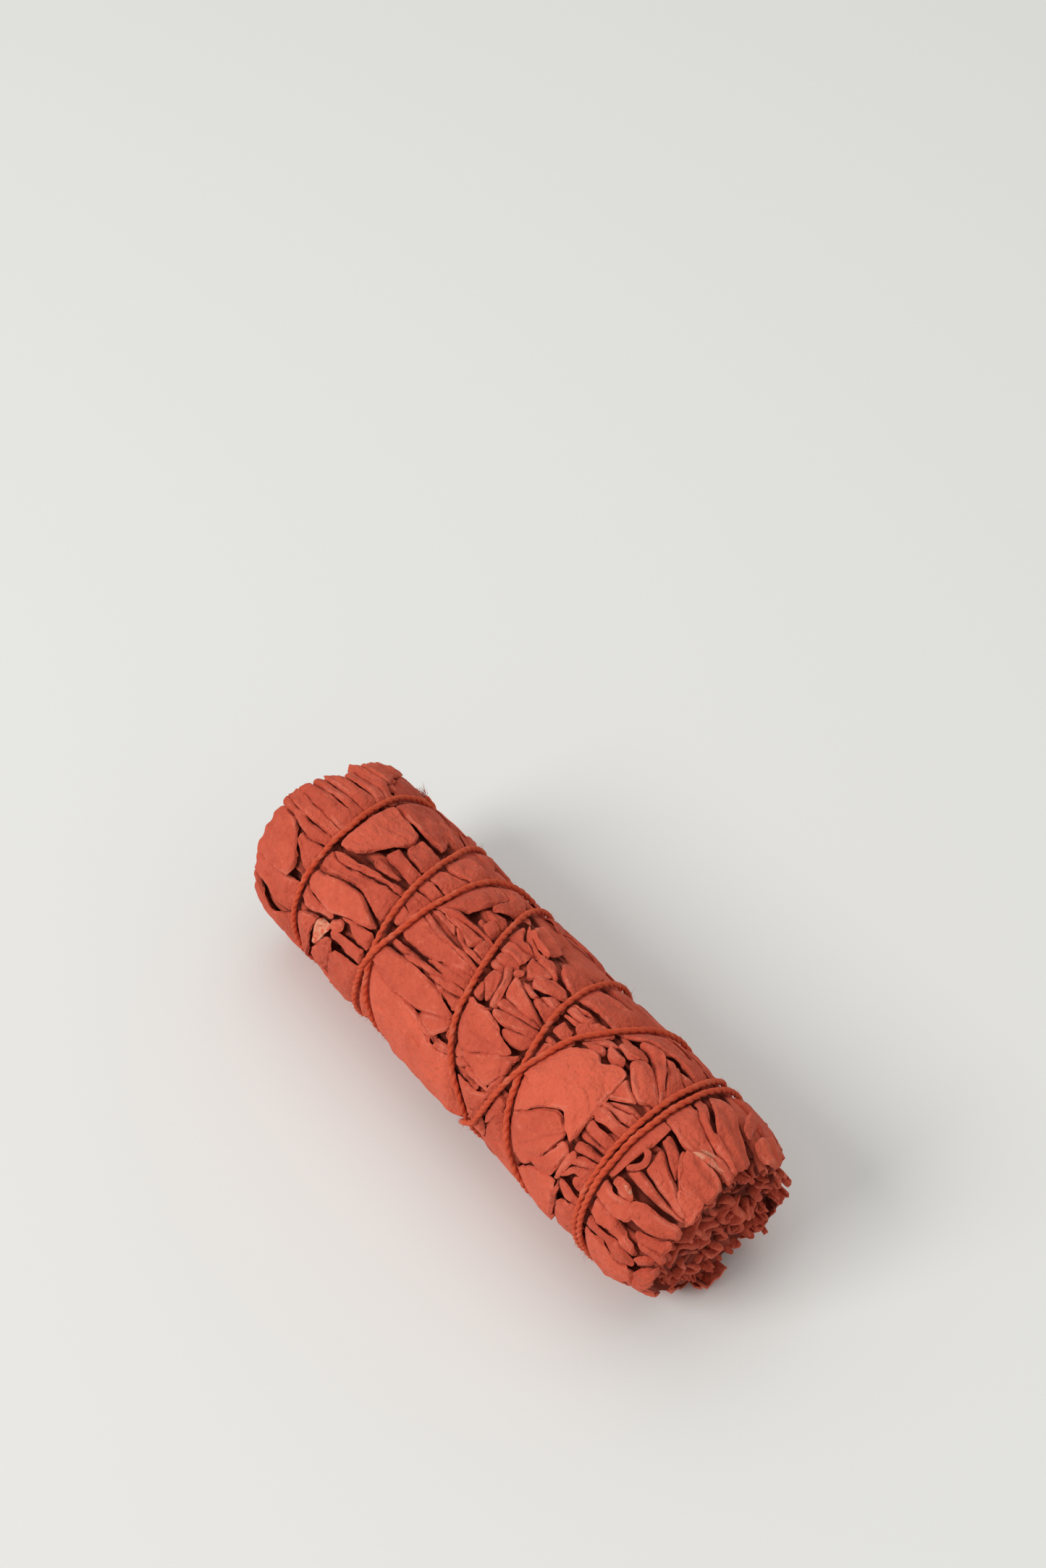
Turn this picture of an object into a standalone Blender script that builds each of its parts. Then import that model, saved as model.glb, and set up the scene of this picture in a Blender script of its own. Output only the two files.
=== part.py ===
"""Red herb bundle (smudge stick): leafy sprigs pressed round a heart sprig, with woody stems, tied by one twine.

Metres, +X along the bundle from its cut butt end to its leafy tip end, +Z up. The bundle lies on z = 0,
on leaves pressed flat underneath, and the origin is the bottom centre of its bounding box.
"""

import math
import random

import bmesh
import bpy
from mathutils import Matrix, Vector
from mathutils.bvhtree import BVHTree

MM = 0.001

LENGTH = 105 * MM
LEAF_RADIUS = 16.9 * MM
CORE_RADIUS = 15.0 * MM
HEART_RADIUS = 6.2 * MM
HEART_SIDES = 14
AXIS_HEIGHT = 16.1 * MM
GAP = 0.3 * MM

# The bundle's lumps, how far its ends are drawn in and over what share of its half length, and how far the
# cores stop short of the leaf tips.
SLOW_LUMP = 0.35 * MM
ROUND_LUMP = 0.25 * MM
END_DRAWN_IN = 0.13
END_SHARE = 0.2
CORE_SETBACK = 2.5 * MM
CORE_STATIONS = 13

# The core's filling above the table, which the table then cuts flat, and its spread in degrees.
PRESS_FILL = 1.9 * MM
PRESS_SPREAD = 18

# Where each outer sprig starts, in degrees round the bundle's axis from +Y towards +Z.
SPRIG_STARTS = (18, 60, 100, 143, 184, 224, 262, 310)
SEAM_SWAY = 5.0
SEAM_TILT = 4.0
SEAM_MARGIN = 0.27 * MM

LEAF_CELLS = (3, 2)
LEAF_ROOT = 2.2 * MM
LEAF_UNDERCUT = 0.3
LEAF_SETBACK = 0.75 * MM
LEAF_CROWN = 0.35 * MM
LEAF_LIFT = (0.3 * MM, 0.9 * MM)
FILL_LENGTH = 21 * MM
FILL_WIDTH = 9 * MM
FILL_PITCH = 19 * MM

# The large leaves that show from a step away: place along the bundle and angle round it, then length and
# width in mm, and the slant of their length in degrees.
LARGE_LEAVES = (
    (-46, 76, 13, 9, 4), (-34, 80, 11, 9, 18), (-24, 70, 12, 7, -8), (-13, 75, 12, 8, 12), (-2, 74, 12, 7, -14),
    (6, 86, 11, 7, 10), (14, 67, 16, 6, 4), (24, 86, 10, 6, -12), (33, 79, 13, 6, 24), (46, 70, 13, 8, 12),
    (46, 89, 13, 6, 2), (-46, 107, 14, 6, 2), (-35, 112, 12, 5, -10), (-28, 128, 18, 6, 5), (-45, 132, 12, 7, 28),
    (-20, 108, 12, 6, 8), (-8, 111, 15, 6, 3), (-9, 135, 19, 7, 4), (5, 130, 12, 8, -6), (8, 108, 14, 6, 8),
    (26, 113, 13, 12, 0), (38, 108, 9, 7, 10), (48, 110, 9, 9, 38), (26, 153, 15, 10, -32), (40, 130, 11, 8, 60),
    (-7, 161, 23, 9, 0), (-30, 152, 13, 7, -16), (-44, 160, 13, 9, 8), (9, 158, 12, 7, 6), (-27, 171, 16, 7, 30),
    (28, 180, 14, 10, 58), (45, 150, 12, 7, -8), (45, 171, 12, 8, 12), (15, 177, 12, 7, -20), (37, 165, 9, 7, 20),
)

# The share of its triangles that a sprig keeps when the slivers of its joints are slimmed away.
KEPT_SHARE = 0.64

RUFFLE_THICKNESS = 0.75 * MM
RUFFLE_REACH = 2.4 * MM
RUFFLE_STEP = 2.4 * MM
RUFFLE_ROOT = 6 * MM
RUFFLE_SETBACK = 2.2 * MM
RUFFLE_WANDER = 0.6 * MM
RUFFLE_RINGS = (8.2 * MM, 10.7 * MM, 13.2 * MM)

# The crinkled ends of the heart sprig's leaves: distance from the axis, and the angles they run between.
HEART_RUFFLES = ((4.3 * MM, 20, 300), (2.0 * MM, 150, 400))

# The angles between which the twine runs in grooves, and the sprigs that hold them.
UNDERSIDE = (230, 310)
GROOVED_SPRIGS = (5, 6, 7)

STEM_RADIUS = 1.15 * MM
STEM_LENGTH = 84 * MM
STEM_SPRIGS = (1, 3, 4, 6, 7)
STEM_DEPTH = 10.4 * MM

TWINE_RADIUS = 0.65 * MM
TWINE_BITE = 1.0 * MM
TWINE_BITE_REACH = 2.4 * MM
TWINE_STEP = 12
TWINE_CLEAR = 0.1 * MM

# The twine's route, as (turning angle in degrees, place along the bundle in mm). From a knot at the back of the
# butt end it makes a hoop, four wide turns to a double hoop at the tip end, and wider turns back to the knot.
TWINE_ROUTE = (
    (360, -40.6), (390, -41.6), (420, -41.4), (445, -40.2), (470, -39.2), (540, -38.9), (560, -38.5),
    (610, -37.0), (650, -34.5), (685, -31.5), (730, -28.3), (765, -26.0), (785, -24.2), (820, -21.5),
    (850, -19.6), (900, -17.0), (1000, -12.0), (1125, -6.6), (1160, -3.4), (1190, 0.0), (1225, 3.8),
    (1260, 9.0), (1310, 10.8), (1430, 11.4), (1490, 12.2), (1530, 14.6), (1570, 18.2), (1610, 21.2),
    (1640, 24.8), (1690, 26.6), (1740, 28.6), (1770, 31.0), (1810, 34.6), (1840, 36.6), (1870, 37.1),
    (2000, 37.2), (2120, 37.6), (2190, 38.9), (2360, 39.0), (2400, 38.0), (2460, 34.0), (2490, 31.0),
    (2530, 27.0), (2570, 24.0), (2595, 22.0), (2615, 19.6), (2640, 18.0), (2670, 15.6), (2700, 12.6),
    (2712, 9.4), (2790, 0.0), (2840, -6.5), (2880, -11.0), (2930, -15.7), (2975, -16.2), (3010, -17.6),
    (3045, -20.0), (3080, -21.6), (3130, -24.6), (3170, -28.6), (3205, -33.0), (3240, -38.4),
)
KNOT_ANGLE = 0
KNOT_PLACE = -39.5 * MM
KNOT_RADIUS = 1.6 * MM

# The two tails past the knot, each as steps of (place along the bundle in mm, angle round it in degrees).
TAIL_ROUTES = (
    ((-41.5, 4), (-44.0, 12), (-46.5, 16)),
    ((-37.5, -5), (-35.0, -12), (-32.0, -15)),
)

LEAF_RED = (0.60, 0.125, 0.085, 1.0)
TWINE_RED = (0.62, 0.085, 0.035, 1.0)
STEM_BROWN = (0.42, 0.24, 0.12, 1.0)


def clear_scene():
    for obj in list(bpy.data.objects):
        bpy.data.objects.remove(obj)


def new_collection(name):
    collection = bpy.data.collections.new(name)
    bpy.context.scene.collection.children.link(collection)
    return collection


def new_material(name, colour, roughness):
    material = bpy.data.materials.new(name)
    material.use_nodes = True
    shader = material.node_tree.nodes["Principled BSDF"]
    shader.inputs["Base Color"].default_value = colour
    shader.inputs["Roughness"].default_value = roughness
    shader.inputs["Metallic"].default_value = 0.0
    return material


def finish_mesh(name, mesh, collection):
    """Links the bmesh as an object, with its faces pointing out."""
    bmesh.ops.recalc_face_normals(mesh, faces=mesh.faces)
    data = bpy.data.meshes.new(name)
    mesh.to_mesh(data)
    mesh.free()
    obj = bpy.data.objects.new(name, data)
    collection.objects.link(obj)
    return obj


def on_bundle(x, degrees, radius):
    """The point at this place along the axis, angle round it and distance from it."""
    angle = math.radians(degrees)
    return Vector((x, radius * math.cos(angle), AXIS_HEIGHT + radius * math.sin(angle)))


def sway(x, seed):
    """A slow wave along the bundle, from -1 to 1."""
    along = x / MM
    return 0.6 * math.sin(along / 9.5 + seed * 2.4) + 0.4 * math.sin(along / 5.3 + seed * 4.1)


def seam_angle(index, x):
    """The angle at which sprig index starts, at x along the bundle."""
    turn, which = divmod(index, len(SPRIG_STARTS))
    start = SPRIG_STARTS[which] + 360 * turn
    return start + SEAM_SWAY * sway(x, which) - SEAM_TILT * x / (LENGTH / 2)


def within_sprig(index, x, degrees, radius):
    """The angle held clear of the sprig's two seams."""
    slack = math.degrees(SEAM_MARGIN / radius)
    return min(max(degrees, seam_angle(index, x) + slack), seam_angle(index + 1, x) - slack)


def twine_place(angle):
    """The twine's place along the bundle at this turning angle: a cubic through its route."""
    route = TWINE_ROUTE
    i = 0
    while i < len(route) - 2 and angle > route[i + 1][0]:
        i += 1
    before, after = route[max(i - 1, 0)], route[min(i + 2, len(route) - 1)]
    (a0, x0), (a1, x1) = route[i], route[i + 1]
    slope0 = (x1 - before[1]) / (a1 - before[0])
    slope1 = (after[1] - x0) / (after[0] - a0)
    span, t = a1 - a0, (angle - a0) / (a1 - a0)
    return MM * (
        x0 * (1 + 2 * t) * (1 - t) ** 2
        + slope0 * span * t * (1 - t) ** 2
        + x1 * t * t * (3 - 2 * t)
        + slope1 * span * t * t * (t - 1)
    )


def twine_turns(degrees):
    """The twine's places along the bundle at this angle round it, one for each turn."""
    first, last = TWINE_ROUTE[0][0], TWINE_ROUTE[-1][0]
    turning = degrees % 360
    while turning < first:
        turning += 360
    places = []
    while turning <= last:
        places.append(twine_place(turning))
        turning += 360
    return places


def pinch(x, degrees):
    """How far the twine pulls the leaves in at this point."""
    nearest = min(abs(x - place) for place in twine_turns(degrees))
    return TWINE_BITE * math.exp(-((nearest / TWINE_BITE_REACH) ** 2))


def body_radius(x, degrees, radius):
    """The bundle's lumpy outline: drawn in at its two rounded ends and under the twine."""
    lumps = SLOW_LUMP * sway(1.3 * x, degrees / 57) + ROUND_LUMP * math.sin(math.radians(3 * degrees + 40))
    past = max(0.0, abs(x) / (LENGTH / 2) - 1 + END_SHARE) / END_SHARE
    return (radius + lumps) * (1.0 - END_DRAWN_IN * min(past, 1.3) ** 2) - pinch(x, degrees)


def core_radius(x, degrees):
    """The pressed leaves under the large ones, filled out where the table flattens them."""
    from_below = (degrees - 90) % 360 - 180
    fill = 0.0
    if abs(x) < (1 - END_SHARE) * LENGTH / 2:
        fill = PRESS_FILL * math.exp(-((from_below / PRESS_SPREAD) ** 2))
    return body_radius(x, degrees, CORE_RADIUS) + fill


def loft(name, sections, collection):
    """A closed solid through these rings of points, with both ends filled."""
    mesh = bmesh.new()
    rings = [[mesh.verts.new(point) for point in section] for section in sections]
    for before, after in zip(rings, rings[1:]):
        for i in range(len(before)):
            j = (i + 1) % len(before)
            mesh.faces.new((before[i], before[j], after[j], after[i]))
    mesh.faces.new(list(reversed(rings[0])))
    mesh.faces.new(rings[-1])
    bmesh.ops.triangulate(mesh, faces=mesh.faces)
    return finish_mesh(name, mesh, collection)


def stations(reach, count):
    return [-reach + 2 * reach * i / (count - 1) for i in range(count)]


def sprig_core(name, index, collection):
    """An outer sprig's pressed inner leaves: the slice between its seams, from the heart sprig outwards."""
    sections = []
    for x in stations(LENGTH / 2 - CORE_SETBACK, CORE_STATIONS):
        start, end = seam_angle(index, x), seam_angle(index + 1, x)
        ring = []
        for share in (0, 0.5, 1):
            radius = HEART_RADIUS + GAP
            degrees = within_sprig(index, x, start + share * (end - start), radius)
            ring.append(on_bundle(x, degrees, radius / math.cos(math.radians(20))))
        for share in (1, 0.75, 0.5, 0.25, 0):
            radius = core_radius(x, start + share * (end - start))
            degrees = within_sprig(index, x, start + share * (end - start), radius)
            ring.append(on_bundle(x, degrees, radius))
        sections.append(ring)
    return loft(name, sections, collection)


def pressed_leaf(name, index, place, degrees, length, width, slant, draw, collection):
    """One leaf pressed on its sprig: waved and arched, one long edge lifted clear, its root sunk in the sprig."""
    mesh = bmesh.new()
    bmesh.ops.create_grid(mesh, x_segments=LEAF_CELLS[0], y_segments=LEAF_CELLS[1], size=1.0)
    turn = math.radians(slant)
    wave, lift = draw.uniform(0, math.tau), draw.uniform(*LEAF_LIFT) * draw.choice((-1, 1))

    def lay(along, across, depth):
        half = 0.5 * width * (1 - 0.8 * abs(along) ** 2.4) ** 0.6
        run = 0.5 * length * along
        side = half * across * (1 + 0.12 * math.sin(3.6 * along + wave))
        x = place + run * math.cos(turn) - side * math.sin(turn)
        x = min(max(x, -LENGTH / 2), LENGTH / 2)
        arc = run * math.sin(turn) + side * math.cos(turn)
        around = within_sprig(index, x, degrees + math.degrees(arc / LEAF_RADIUS), LEAF_RADIUS - LEAF_ROOT)
        crown = LEAF_CROWN * (1 - across * across)
        pucker = LEAF_CROWN * math.sin(4.4 * along + 2.2 * across + wave)
        radius = body_radius(x, around, LEAF_RADIUS) - LEAF_SETBACK + crown + pucker + lift * across
        return on_bundle(x, around, radius - depth)

    top = {vert: (vert.co.x, vert.co.y) for vert in mesh.verts}
    rim = [edge for edge in mesh.edges if edge.is_boundary]
    sunk = bmesh.ops.extrude_edge_only(mesh, edges=rim)["geom"]
    roots = {vert: (vert.co.x, vert.co.y) for vert in sunk if isinstance(vert, bmesh.types.BMVert)}
    for vert, (along, across) in top.items():
        vert.co = lay(along, across, 0)
    for vert, (along, across) in roots.items():
        vert.co = lay(along * (1 - LEAF_UNDERCUT), across * (1 - LEAF_UNDERCUT), LEAF_ROOT)
    bmesh.ops.holes_fill(mesh, edges=[edge for edge in mesh.edges if edge.is_boundary], sides=0)
    bmesh.ops.triangulate(mesh, faces=mesh.faces)
    return finish_mesh(name, mesh, collection)


def ruffle(name, end, radius, start, stop, draw, collection):
    """A leaf's crinkled end, standing out of one end of the bundle as a wavy sheet that follows the rings."""
    segments = max(3, round(radius * math.radians(stop - start) / RUFFLE_STEP))
    wave = draw.uniform(0, math.tau)
    root, rest = LENGTH / 2 - RUFFLE_ROOT, LENGTH / 2 - RUFFLE_SETBACK
    mesh = bmesh.new()
    rows = []
    for i in range(segments + 1):
        degrees = start + (stop - start) * i / segments
        wander = RUFFLE_WANDER * math.sin(2.1 * i + wave)
        reach = RUFFLE_REACH * (0.5 + 0.5 * abs(math.sin(1.9 * i + wave))) * draw.uniform(0.75, 1.1)
        inner = mesh.verts.new(on_bundle(end * root, degrees, radius + wander))
        outer = mesh.verts.new(on_bundle(end * (rest + reach), degrees, 0.96 * radius + 1.6 * wander))
        rows.append((inner, outer))
    for before, after in zip(rows, rows[1:]):
        mesh.faces.new((before[0], after[0], after[1], before[1]))
    bmesh.ops.triangulate(mesh, faces=mesh.faces)
    sheet = finish_mesh(name, mesh, collection)
    solidify = sheet.modifiers.new("thickness", "SOLIDIFY")
    solidify.thickness = RUFFLE_THICKNESS
    solidify.offset = 0
    return sheet


def apply_modifiers(obj):
    bpy.context.view_layer.update()
    graph = bpy.context.evaluated_depsgraph_get()
    data = bpy.data.meshes.new_from_object(obj.evaluated_get(graph))
    obj.modifiers.clear()
    obj.data = data


def boolean(obj, operation, other):
    """Applies a Boolean with one object, or with all objects of a collection. Exact fails on these many joints."""
    modifier = obj.modifiers.new(operation.lower(), "BOOLEAN")
    modifier.operation = operation
    modifier.solver = "MANIFOLD"
    if isinstance(other, bpy.types.Collection):
        modifier.operand_type = "COLLECTION"
        modifier.collection = other
    else:
        modifier.object = other
    apply_modifiers(obj)


def fuse(obj, work):
    """Joins the work collection's objects to obj as one body, and empties the collection."""
    boolean(obj, "UNION", work)
    for used in list(work.objects):
        bpy.data.objects.remove(used)


def keep_largest_body(obj):
    """Drops the loose scraps that a cut leaves."""
    mesh = bmesh.new()
    mesh.from_mesh(obj.data)
    unseen = set(mesh.verts)
    bodies = []
    while unseen:
        stack = [unseen.pop()]
        body = set(stack)
        while stack:
            for edge in stack.pop().link_edges:
                found = {vert for vert in edge.verts if vert in unseen}
                unseen -= found
                body |= found
                stack.extend(found)
        bodies.append(body)
    bodies.sort(key=len)
    bmesh.ops.delete(mesh, geom=[vert for body in bodies[:-1] for vert in body], context="VERTS")
    mesh.to_mesh(obj.data)
    mesh.free()


def leaf_plan(index, draw):
    """Where a sprig's leaves lie: the large ones on its own ground, or else two staggered rows."""
    plan = []
    for place, degrees, length, width, slant in LARGE_LEAVES:
        if seam_angle(index, place * MM) < degrees < seam_angle(index + 1, place * MM):
            plan.append((place * MM, degrees, length * MM, width * MM, slant))
    if plan:
        return plan
    for side in (-1, 1):
        for row in range(int(LENGTH / FILL_PITCH) + 1):
            x = -LENGTH / 2 + FILL_PITCH * (row + 0.3 + 0.25 * side) + draw.uniform(-1.5, 1.5) * MM
            x = min(max(x, -0.44 * LENGTH), 0.44 * LENGTH)
            start, end = seam_angle(index, x), seam_angle(index + 1, x)
            degrees = (start + end) / 2 + side * 0.22 * (end - start)
            length, width = FILL_LENGTH * draw.uniform(0.8, 1.1), FILL_WIDTH * draw.uniform(0.75, 1.05)
            plan.append((x, degrees, length, width, draw.uniform(-25, 20)))
    return plan


def outer_sprig(index, draw, shown, work):
    sprig = sprig_core(f"sprig_{index + 1}", index, shown)
    for number, (x, degrees, length, width, slant) in enumerate(leaf_plan(index, draw)):
        pressed_leaf(f"leaf_{number}", index, x, degrees, length, width, slant, draw, work)
    for end in (-1, 1):
        x = end * LENGTH / 2
        start, stop = seam_angle(index, x), seam_angle(index + 1, x)
        for number, ring in enumerate(RUFFLE_RINGS):
            radius = ring + draw.uniform(-0.2, 0.2) * MM
            slack = math.degrees(1.1 * MM / radius)
            ruffle(f"ruffle_{end}_{number}", end, radius, start + slack, stop - slack, draw, work)
    fuse(sprig, work)
    slim = sprig.modifiers.new("slim", "DECIMATE")
    slim.ratio = KEPT_SHARE
    apply_modifiers(sprig)
    return sprig


def heart_sprig(draw, shown, work):
    """The sprig in the middle, of which only the crinkled ends show."""
    sections = []
    for x in stations(LENGTH / 2 - CORE_SETBACK, 2):
        sections.append([on_bundle(x, 360 * i / HEART_SIDES, HEART_RADIUS) for i in range(HEART_SIDES)])
    heart = loft("sprig_heart", sections, shown)
    for end in (-1, 1):
        for radius, start, stop in HEART_RUFFLES:
            ruffle(f"heart_ruffle_{end}_{start}", end, radius, start, stop, draw, work)
    fuse(heart, work)
    return heart


def clear_radius(trees, x, degrees):
    """The distance from the axis of the outermost leaf on this line, or 0."""
    out = on_bundle(x, degrees, 1.0) - on_bundle(x, degrees, 0.0)
    start = on_bundle(x, degrees, 2 * LEAF_RADIUS)
    hits = [tree.ray_cast(start, -out, 2 * LEAF_RADIUS)[0] for tree in trees]
    axis = on_bundle(x, degrees, 0.0)
    return max([(hit - axis).length for hit in hits if hit is not None] + [0.0])


def leaf_seat(trees, angle, step):
    """How far from the axis the twine lies on the leaves near this turning angle."""
    first, last = TWINE_ROUTE[0][0], TWINE_ROUTE[-1][0]
    seat = 0.0
    for tenth in range(-10, 11):
        near = min(max(angle + step * tenth / 10, first), last)
        for aside in (-1.2, -0.6, 0, 0.6, 1.2):
            seat = max(seat, clear_radius(trees, twine_place(near) + aside * TWINE_RADIUS, near))
    return seat + TWINE_RADIUS / math.cos(math.radians(step / 2)) + GAP


def crossing_lift(angle, step, laid):
    """How far from the axis the twine must be to pass over its own earlier turns, laid as (angle, radius)."""
    apart = 2 * TWINE_RADIUS + 1.5 * GAP
    lifted = 0.0
    for quarter in range(-4, 5):
        near = min(angle + step * quarter / 4, TWINE_ROUTE[-1][0])
        for earlier, radius in laid:
            turned = (near - earlier) % 360
            if near - earlier > 180 and min(turned, 360 - turned) <= step / 2:
                beside = abs(twine_place(near) - twine_place(near - 360 * round((near - earlier) / 360)))
                if beside < apart:
                    lifted = max(lifted, radius + math.sqrt(apart**2 - beside**2))
    return lifted


def above_table(degrees):
    """The largest distance from the axis at which the twine stays off the table."""
    down = -math.sin(math.radians(degrees))
    room = AXIS_HEIGHT - TWINE_RADIUS - TWINE_CLEAR
    return room / down if down > 0.5 else math.inf


def search_trees(sprigs):
    trees = []
    for sprig in sprigs:
        mesh = bmesh.new()
        mesh.from_mesh(sprig.data)
        trees.append(BVHTree.FromBMesh(mesh))
        mesh.free()
    return trees


def twine_line(trees):
    """The wound twine as (turning angle, place, distance from the axis), taut on the leaves."""
    first, last = TWINE_ROUTE[0][0], TWINE_ROUTE[-1][0]
    count = round((last - first) / TWINE_STEP)
    step = (last - first) / count
    laid = []
    for i in range(count + 1):
        angle = first + step * i
        radius = max(leaf_seat(trees, angle, step), crossing_lift(angle, step, laid))
        laid.append((angle, min(radius, above_table(angle))))
    return [(angle, twine_place(angle), radius) for angle, radius in laid]


def underside_runs(line):
    """The stretches of the twine that pass under the bundle, where the leaves are grooved for them."""
    runs, run = [], []
    for angle, x, radius in line:
        if UNDERSIDE[0] <= angle % 360 <= UNDERSIDE[1]:
            run.append(on_bundle(x, angle, radius))
        elif run:
            runs.append(run)
            run = []
    return runs


def tube(name, points, radius, collection, bevel=1):
    """A round rod along these points, as a mesh with its caps welded on."""
    curve = bpy.data.curves.new(name, "CURVE")
    curve.dimensions = "3D"
    curve.bevel_depth = radius
    curve.bevel_resolution = bevel
    curve.use_fill_caps = True
    spline = curve.splines.new("POLY")
    spline.points.add(len(points) - 1)
    for target, point in zip(spline.points, points):
        target.co = (*point, 1.0)
    rod = bpy.data.objects.new(name, curve)
    collection.objects.link(rod)
    bpy.context.view_layer.update()
    graph = bpy.context.evaluated_depsgraph_get()
    data = bpy.data.meshes.new_from_object(rod.evaluated_get(graph))
    bpy.data.objects.remove(rod)
    mesh = bmesh.new()
    mesh.from_mesh(data)
    bmesh.ops.remove_doubles(mesh, verts=mesh.verts, dist=0.01 * MM)
    bmesh.ops.triangulate(mesh, faces=mesh.faces)
    return finish_mesh(name, mesh, collection)


def table_cutter(cutters):
    """The block under z = 0 that presses the lowest leaves flat."""
    bpy.ops.mesh.primitive_cube_add(size=1)
    block = bpy.context.object
    block.name = "table_cutter"
    depth = 20 * MM
    block.data.transform(Matrix.Diagonal((2 * LENGTH, LENGTH, depth, 1.0)))
    block.location = (0, 0, -depth / 2)
    for collection in list(block.users_collection):
        collection.objects.unlink(block)
    cutters.objects.link(block)
    return block


def hide_cutter(obj):
    obj.hide_render = True
    obj.display_type = "WIRE"
    return obj


def stem_points(index, start, stop):
    """A stem's line from the butt end into its sprig, bowed a little."""
    points = []
    for i in range(7):
        x = start + (stop - start) * i / 6
        middle = 0.5 * (seam_angle(index, x) + seam_angle(index + 1, x))
        points.append(on_bundle(x, middle, STEM_DEPTH + 0.5 * MM * math.sin(math.pi * i / 6)))
    return points


def tail_points(start, route, trees):
    """One tail: from the knot out over the leaves that it lies on."""
    points = [start]
    x_from, angle_from = KNOT_PLACE, KNOT_ANGLE
    for place, angle in route:
        x = place * MM
        seat = 0.0
        for i in range(9):
            share = i / 8
            along, around = x_from + share * (x - x_from), angle_from + share * (angle - angle_from)
            for aside in (-TWINE_RADIUS, 0, TWINE_RADIUS):
                seat = max(seat, clear_radius(trees, along, around + math.degrees(aside / LEAF_RADIUS)))
        points.append(on_bundle(x, angle, seat + TWINE_RADIUS + 2 * GAP))
        x_from, angle_from = x, angle
    return points


def tied_twine(line, trees, shown, work):
    """The whole cord: the wound line, the knot that joins its two ends, and the two tails."""
    twine = tube("twine", [on_bundle(x, angle, radius) for angle, x, radius in line], TWINE_RADIUS, shown)
    knot_seat = min(line[0][2], line[-1][2]) + KNOT_RADIUS - TWINE_RADIUS
    middle = on_bundle(KNOT_PLACE, KNOT_ANGLE, knot_seat)
    bpy.ops.mesh.primitive_ico_sphere_add(subdivisions=2, radius=KNOT_RADIUS)
    knot = bpy.context.object
    knot.name = "knot"
    knot.data.transform(Matrix.Translation(middle))
    for collection in list(knot.users_collection):
        collection.objects.unlink(knot)
    work.objects.link(knot)
    for number, route in enumerate(TAIL_ROUTES):
        tube(f"tail_{number}", tail_points(middle, route, trees), TWINE_RADIUS, work)
    fuse(twine, work)
    return twine


def centre_on_origin(objects):
    """Moves the finished meshes so that their common box is centred on x = 0 and y = 0."""
    points = [vert.co for obj in objects for vert in obj.data.vertices]
    middle = [0.5 * (min(point[side] for point in points) + max(point[side] for point in points)) for side in (0, 1)]
    for obj in objects:
        obj.data.transform(Matrix.Translation((-middle[0], -middle[1], 0)))


def dress(obj, material):
    obj.data.materials.clear()
    obj.data.materials.append(material)


def build():
    clear_scene()
    shown = new_collection("herb_bundle")
    cutters = new_collection("cutters")
    work = new_collection("work")
    leaf_material = new_material("red_leaf", LEAF_RED, 0.9)
    twine_material = new_material("red_twine", TWINE_RED, 0.85)
    stem_material = new_material("stem_wood", STEM_BROWN, 0.8)

    draw = random.Random(45)
    butt = -LENGTH / 2
    table = hide_cutter(table_cutter(cutters))
    sprigs = [outer_sprig(index, draw, shown, work) for index in range(len(SPRIG_STARTS))]
    for number, index in enumerate(STEM_SPRIGS, 1):
        bore_line = stem_points(index, butt - 6 * MM, butt + STEM_LENGTH + GAP)
        bore = hide_cutter(tube(f"stem_hole_{number}", bore_line, STEM_RADIUS + GAP, cutters))
        boolean(sprigs[index], "DIFFERENCE", bore)
        stem = tube(f"stem_{number}", stem_points(index, butt - 0.5 * MM, butt + STEM_LENGTH), STEM_RADIUS, shown)
        dress(stem, stem_material)
    for sprig in sprigs:
        boolean(sprig, "DIFFERENCE", table)
    trees = search_trees(sprigs)
    line = twine_line(trees)
    for number, run in enumerate(underside_runs(line)):
        groove = hide_cutter(tube(f"groove_{number}", run, TWINE_RADIUS + GAP, cutters))
        for index in GROOVED_SPRIGS:
            boolean(sprigs[index], "DIFFERENCE", groove)
    for sprig in sprigs:
        keep_largest_body(sprig)
        dress(sprig, leaf_material)
    dress(heart_sprig(draw, shown, work), leaf_material)
    dress(tied_twine(line, trees, shown, work), twine_material)
    centre_on_origin(list(shown.objects))


build()
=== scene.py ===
"""Dresses the red herb bundle: pressed leaves, curled leaf ends, cut stems and a wound two-ply twine.

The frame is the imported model's: +X runs from the cut butt end to the leafy tip end and +Z is up. A place
on the bundle is its x and its angle round the axis, from +Y towards +Z. Lengths are in millimetres and
angles in degrees, except where a docstring says metres or radians.
"""

from __future__ import annotations

import logging
import math
import random
from dataclasses import dataclass, field
from enum import Enum
from typing import Any

import bmesh
import bpy
import numpy as np
from mathutils import Matrix, Vector


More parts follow.
